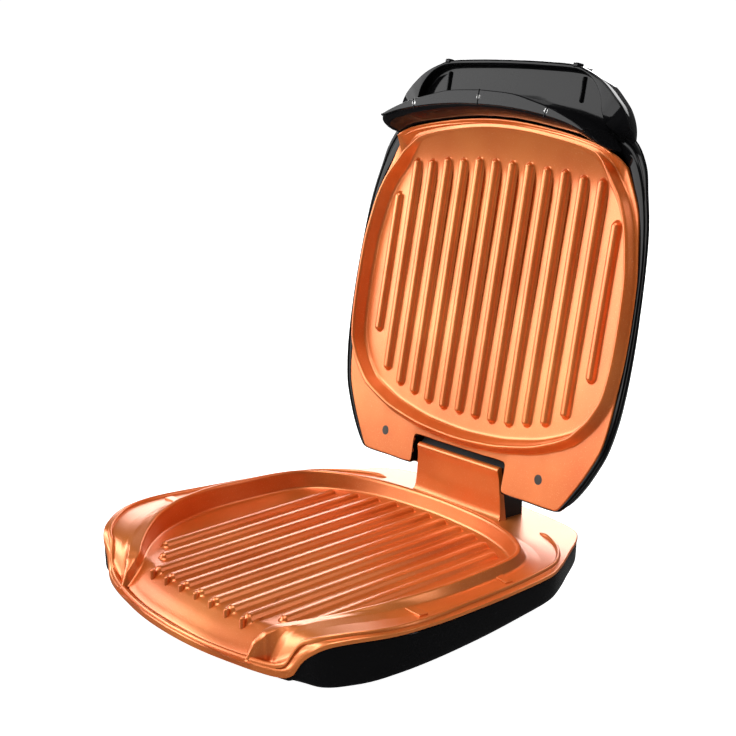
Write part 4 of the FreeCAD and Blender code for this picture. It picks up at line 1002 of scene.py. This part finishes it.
def makeLidPlate():
    bm = bmesh.new()
    lidCasting(bm)
    for side in (1, -1):
        pit(bm, lidPlate["hole"][0] * side, *lidPlate["hole"][1:])
    for x, (rear, front) in lidPlate["ribs"].items():
        for side in (1, -1):
            ends = ((x * side, rear, 0), (x * side, front, 0))
            ridge(bm, ends, lidWell, lidPlate["ribSection"])
    makePiece(bm, "lidPlate", "lid", copper, ["upper_grill_plate"], lidFrame, 50)


makeLidPlate()
print("lid plate is cast")

# lid shell

dome = {
    # stations after the notch, from the rear corner to the front, and their seats against the plate's edge
    "rim": [
        (64, -0.5), (84.5, -0.5), (90.5, 1.8), (102, 14.5), (111, 29), (116.6, 41), (121.6, 65), (123.4, 101),
        (122, 139), (119, 166), (114, 186), (109.6, 200.5), (99.3, 213.6), (85, 219), (60, 223), (0, 225),
    ],
    "seat": [
        (64, 0.2), (85.3, 0.2), (88.6, 1.8), (97.6, 14.2), (106.7, 29), (113.2, 44), (116.5, 68),
        (117.5, 100), (116.7, 139), (113.4, 160), (110.2, 174), (104, 186.5), (97.4, 198.6), (90, 205),
        (38, 216.4), (0, 219),
    ],
    "notch": 40.9,
    "notchCorner": 1.6,
    "seatNotch": [(0, 20), (20, 20), (41.4, 20), (43.2, 18.2), (43.2, 9), (43.2, 2.2), (44.8, 0.4)],
    # the inner face keeps clear of the notch: its half width and its floor
    "notchClear": (60, 34),
    "innerFace": -4,
    "wide": 123.4,
    "long": 225,
    # (w, half width, rear v, front v, v of the notch's floor)
    "levels": [
        (-1.2, 123.4, -0.5, 225, 18.1), (-4, 120.6, 0.2, 221, 18.1), (-4.3, 120.4, 0.3, 220.7, 24.3),
        (-7, 118.4, 0.6, 218, 24.3), (-10.7, 115.4, 0.8, 214.2, 24.3), (-14.5, 112.4, 1.0, 210.2, 24.3),
        (-18, 109.6, 2.6, 205.4, 24.3), (-21.8, 106.6, 4.9, 199.9, 24.3), (-26, 102.6, 8.8, 191.5, 24.4),
        (-29, 98.6, 12.4, 182.8, 24.6), (-31, 94.6, 16.4, 175.6, 25), (-32.6, 89.4, 22, 167, 26),
        (-33.9, 81.5, 31, 155.5, 31), (-34.8, 69, 44, 142, 44), (-35.3, 50, 64, 124, 64),
        (-35.5, 25, 84, 106, 84),
    ],
    # (share of the way from the seat to the outer edge, w)
    "lip": [
        (0, -4), (0, -0.9), (0.06, -0.35), (0.16, -0.05), (0.5, 0), (0.56, -0.12), (0.6, -0.75), (0.68, -0.8),
        (0.72, -0.25), (0.78, -0.02), (0.9, -0.05), (0.96, -0.3),
    ],
    # radius, x and length of the ears round the hinge pin, and the bevel of their ends
    "ear": (6.6, 47, 12),
    "earBevel": 0.6,
}


def shellHalf(half, rear, front, floor):
    # the stations of one level: down the notch's side, then round the shell
    depth = max(floor - rear, 0.06)
    corner = min(dome["notchCorner"], depth * 0.3)
    side = min(dome["notch"], half * 0.5)
    points = [
        (0, rear + depth), (side * 0.5, rear + depth), (side - corner, rear + depth),
        (side, rear + depth - corner), (side, rear + depth / 2), (side, rear + corner), (side + corner, rear),
    ]
    first = dome["notch"] + dome["notchCorner"]
    stretch = (half - side - corner) / (dome["wide"] - first)
    for x, v in dome["rim"]:
        across = max(side + corner + (x - first) * stretch, 0) if x else 0
        points.append((across, rear + max(v, 0) * (front - rear) / dome["long"]))
    return points


def makeLidShell():
    bm = bmesh.new()
    seat = outlineRing(dome["seatNotch"] + dome["seat"])
    outer = outlineRing(shellHalf(*dome["levels"][0][1:]))
    clearHalf, clearFloor = dome["notchClear"]
    within = []
    for p in seat:
        nearNotch = abs(p.x) < clearHalf and p.y < clearFloor
        share = 1.04 if nearNotch else 0.97
        within.append(Vector((p.x * share, clearFloor if nearNotch else p.y, dome["innerFace"])))
    rings = [within]
    for share, w in dome["lip"]:
        rings.append([a.lerp(b, share) + Vector((0, 0, w)) for a, b in zip(seat, outer)])
    for w, *sizes in dome["levels"]:
        rings.append(raised(outlineRing(shellHalf(*sizes)), w))
    skin(bm, rings)
    settle(bm)
    radius, x, length = dome["ear"]
    bevel, end = dome["earBevel"], length / 2
    profile = [
        (0, -end), (radius - bevel, -end), (radius, bevel - end),
        (radius, end - bevel), (radius - bevel, end), (0, end),
    ]
    lean = Matrix.Rotation(math.pi / 2, 3, "Y")
    for side in (1, -1):
        turned(bm, profile, (x * side, hinge["pinV"], hinge["pinW"]), 40, lean)
    makePiece(bm, "lidShell", "lid", gloss, ["lid_housing"], lidFrame, 60)


makeLidShell()
print("lid shell is moulded")

# handle

handle = {
    "outer": [
        (0, 195), (60, 195), (88, 196.5), (97.4, 204), (99.2, 212), (97.9, 221), (92.8, 230),
        (86, 236.6), (78, 243), (71, 247), (61, 250.8), (53.7, 252.9), (27, 254.2), (0, 254.5),
    ],
    "inner": [
        (0, 206), (55, 204), (84, 205), (92, 208.5), (94, 212.5), (88, 216), (82, 220.4),
        (78.5, 227.5), (76, 236), (70, 243.6), (62, 248.2), (53, 250.4), (27, 251.5), (0, 251.9),
    ],
    # height of the lip at each station
    "lip": [-8, -8, -7.5, -5, 0.5, 5, 7.6, 8.7, 9, 9, 9, 9, 9, 9],
    "innerLip": [-8, -8, -7.5, -5, -1, 3.5, 7.2, 8.6, 9, 9, 9, 9, 9, 9],
    "rear": 195,
    "ceiling": 2.6,
    # the recess's wall, from its floor up: (inset, share of its depth, lift)
    "recess": [(3.4, 1, 0), (1.8, 1, 0.1), (1.0, 0.92, 0), (0.5, 0.78, 0), (0.1, 0.12, 0)],
    # the outer edge of the lip: (inset, drop)
    "lipEdge": [(0.8, 0), (0.3, 0.2), (0.05, 0.7), (0, 1.4)],
    # the two ridges in the recess: x, where they end, and their section
    "ridgeAt": (57, 233, 246),
    "ridgeSection": [(1.2, -0.6), (1.0, 0.3), (0.8, 1.2), (0.4, 1.6)],
    # (w, share of the width, front v)
    "levels": [
        (-3, 0.985, 254), (-6, 0.958, 251.6), (-9.5, 0.924, 248.2), (-13, 0.888, 243.8), (-18.5, 0.836, 235),
        (-23, 0.79, 225.5), (-26.6, 0.75, 214), (-28.8, 0.715, 205), (-29.7, 0.68, 201), (-30, 0.64, 199.5),
    ],
}


def makeHandleShell():
    bm = bmesh.new()
    outer = outlineRing(handle["outer"])
    inner = outlineRing(handle["inner"])
    high = spread(handle["lip"])
    innerHigh = spread(handle["innerLip"])
    rear, ceiling = handle["rear"], handle["ceiling"]
    full = max(p.y for p in outer) - rear

    def lip(ring, growth, drop, heights):
        return raised(grown(ring, growth), [h - drop for h in heights])

    def well(inset, share, lift=0):
        # a ring on the recess's wall, at a share of its depth
        depths = [h - min(ceiling, h - 1.6) for h in innerHigh]
        return raised(grown(inner, -inset), [h - d * share + lift for h, d in zip(innerHigh, depths)])

    rings = [[p.lerp(Vector((0, 228, ceiling)), 0.5) for p in well(6, 1)]]
    rings += [well(*step) for step in handle["recess"]]
    rings += [lip(inner, 0.15, 0.25, innerHigh), lip(inner, 0.6, 0, innerHigh)]
    rings += [lip(outer, -inset, drop, high) for inset, drop in handle["lipEdge"]]
    for step, (w, wide, front) in enumerate(handle["levels"]):
        ring = [Vector((p.x * wide, rear + (p.y - rear) * (front - rear) / full, 0)) for p in outer]
        rings.append(raised(ring, [min(w, h - 1.6 - 0.3 * step) for h in high]))
    skin(bm, rings)
    settle(bm)
    x, start, end = handle["ridgeAt"]
    for side in (1, -1):
        ends = ((x * side, start, 0), (x * side, end, 0))
        ridge(bm, ends, lambda p: ceiling, handle["ridgeSection"])
    settle(bm)
    makePiece(bm, "handleShell", "lid", trimGloss, ["handle_shell"], lidFrame, 60)


trim = {
    "line": [(0, 254.2), (27, 253.9), (53.7, 252.6), (56.6, 251.8)],
    "height": 3.1,
    # (inwards, up)
    "section": [
        (-0.2, -5.8), (0.9, -5.8), (1.1, -5.2), (1.1, 5.2), (0.8, 5.8), (0.4, 6.1), (-0.1, 5.8), (-0.3, 5.2),
        (-0.3, -5.4),
    ],
    "endSize": (4.4, 2.6, 5),
    "endAt": (54.4, 252.6, 7.2),
    "endEdge": 0.8,
}


def makeHandleTrim():
    bm = bmesh.new()
    right = smoothLine([(*p, trim["height"]) for p in trim["line"]], 8)
    left = [Vector((-p.x, p.y, p.z)) for p in right[:0:-1]]
    sweep(bm, left + right, trim["section"])
    settle(bm)
    x, v, w = trim["endAt"]
    for side in (1, -1):
        block(bm, trim["endSize"], (x * side, v, w), trim["endEdge"], 4)
    makePiece(bm, "handleTrim", "lid", trimGloss, ["handle_trim"], lidFrame, 50)


apron = {
    "outer": [(0, 233.3), (27, 232), (43, 229), (60, 225), (75, 220), (86.2, 215.2)],
    "inner": [(86.2, 213.6), (69.6, 218.1), (45, 222), (20, 224.1), (0, 224.5)],
    "foot": [(92, 206), (76, 211.6), (45, 216.4), (20, 219), (0, 219.7)],
    "footW": [(92, 8.6), (76, 10.3), (45, 11.2), (20, 11.6), (0, 11.7)],
    "top": 29.7,
    "cover": 2,
    # the hood: (share of the way from foot to top, height), and below the seam (share, depth under it, inset)
    "hood": [(0.1, 14.5), (0.25, 19), (0.45, 23), (0.64, 25.4)],
    "seamEdge": [(0.84, 0.9, 0), (0.95, 0.4, 0), (1, 0.1, 0.1)],
    # the cover on it: (inset, height over the seam)
    "coverSection": [(0.4, 0), (0.05, 0.3), (0, 1.1), (0.15, 1.7), (0.6, 2)],
    # the joints across the cover: places, size, and how they shorten and lean towards the ends
    "joints": ((0, 228.7), (56.7, 222.4), (-56.7, 222.4)),
    "jointSize": (0.5, 9.6, 0.8),
    "jointShorter": 0.06,
    "jointLean": 0.27,
}


def apronRing(innerLine, steps=6):
    # the crescent's outline: front arc, tip and rear arc on the right, and the same on the left
    right = smoothLine([(*p, 0) for p in apron["outer"]], steps)
    x, v = innerLine[0]
    tip = [Vector((x + 0.9, v + 1.6, 0)), Vector((x + 0.9, v + 0.5, 0))]
    back = smoothLine([(*p, 0) for p in innerLine], steps)
    half = right + tip + back
    return half + [Vector((-p.x, p.y, 0)) for p in half[-2:0:-1]]


def makeApron():
    bm = bmesh.new()
    top = apronRing(apron["inner"])
    foot = apronRing(apron["foot"])
    seam = apron["top"] - apron["cover"]

    def level(share, w, inset=0):
        ring = [a.lerp(b, share) for a, b in zip(foot, top)]
        return raised(grown(ring, -inset), w)

    # the rear of the foot follows the plate's edge, and its front goes down into the handle
    low, start = [], []
    for p, q in zip(foot, top):
        footTop = easedTable(apron["footW"], abs(p.x))
        atRear = (q - p).length > 2.5
        low.append(Vector((p.x, p.y, min(2.5, footTop - 0.5))))
        start.append(Vector((p.x, p.y, footTop if atRear else 2.2)))
    rings = [low, start] + [level(share, w) for share, w in apron["hood"]]
    rings += [level(share, seam - depth, inset) for share, depth, inset in apron["seamEdge"]]
    skin(bm, rings, flatEnds=True)
    makePiece(bm, "handleApron", "lid", trimGloss, ["handle_apron"], lidFrame, 50)
    bm = bmesh.new()
    rings = [raised(grown(top, -inset), seam + rise) for inset, rise in apron["coverSection"]]
    skin(bm, rings, flatEnds=True)
    settle(bm)
    wide, long, high = apron["jointSize"]
    for x, v in apron["joints"]:
        lean = Matrix.Rotation(math.radians(-x * apron["jointLean"]), 3, "Z")
        length = long - abs(x) * apron["jointShorter"]
        block(bm, (wide, length, high), (x, v, apron["top"]), 0.15, 2, lean)
    makePiece(bm, "handleUnderside", "lid", trimGloss, ["handle_underside"], lidFrame, 50)


makeHandleShell()
makeHandleTrim()
makeApron()
print("handle is moulded")

# carried nodes

carried = {
    "hinge_tower": matte, "cord_gland": matte, "terminal_block": ceramic, "thermal_fuse": ceramic,
    "lower_heating_element": sheath, "upper_heating_element": sheath, "lower_element_clips": steel,
    "upper_element_clips": steel, "lower_heat_shield": shieldSheet, "upper_heat_shield": shieldSheet,
    "lower_thermostat": ceramic, "upper_thermostat": ceramic, "base_screws": steel, "tower_screws": steel,
    "upper_plate_screws": darkSteel, "handle_screws": steel, "hinge_pin": steel, "hinge_bush_left": matte,
    "hinge_bush_right": matte, "power_light": redLens, "ready_light": greenLens, "indicator_lamps": lampGlass,
    "foot_front_left": rubber, "foot_front_right": rubber,
    "foot_rear_left": rubber, "foot_rear_right": rubber,
}


def dressCarried():
    for name, finish in carried.items():
        nodes[name].data.materials.clear()
        nodes[name].data.materials.append(finish)


dressCarried()
print("carried nodes are dressed")
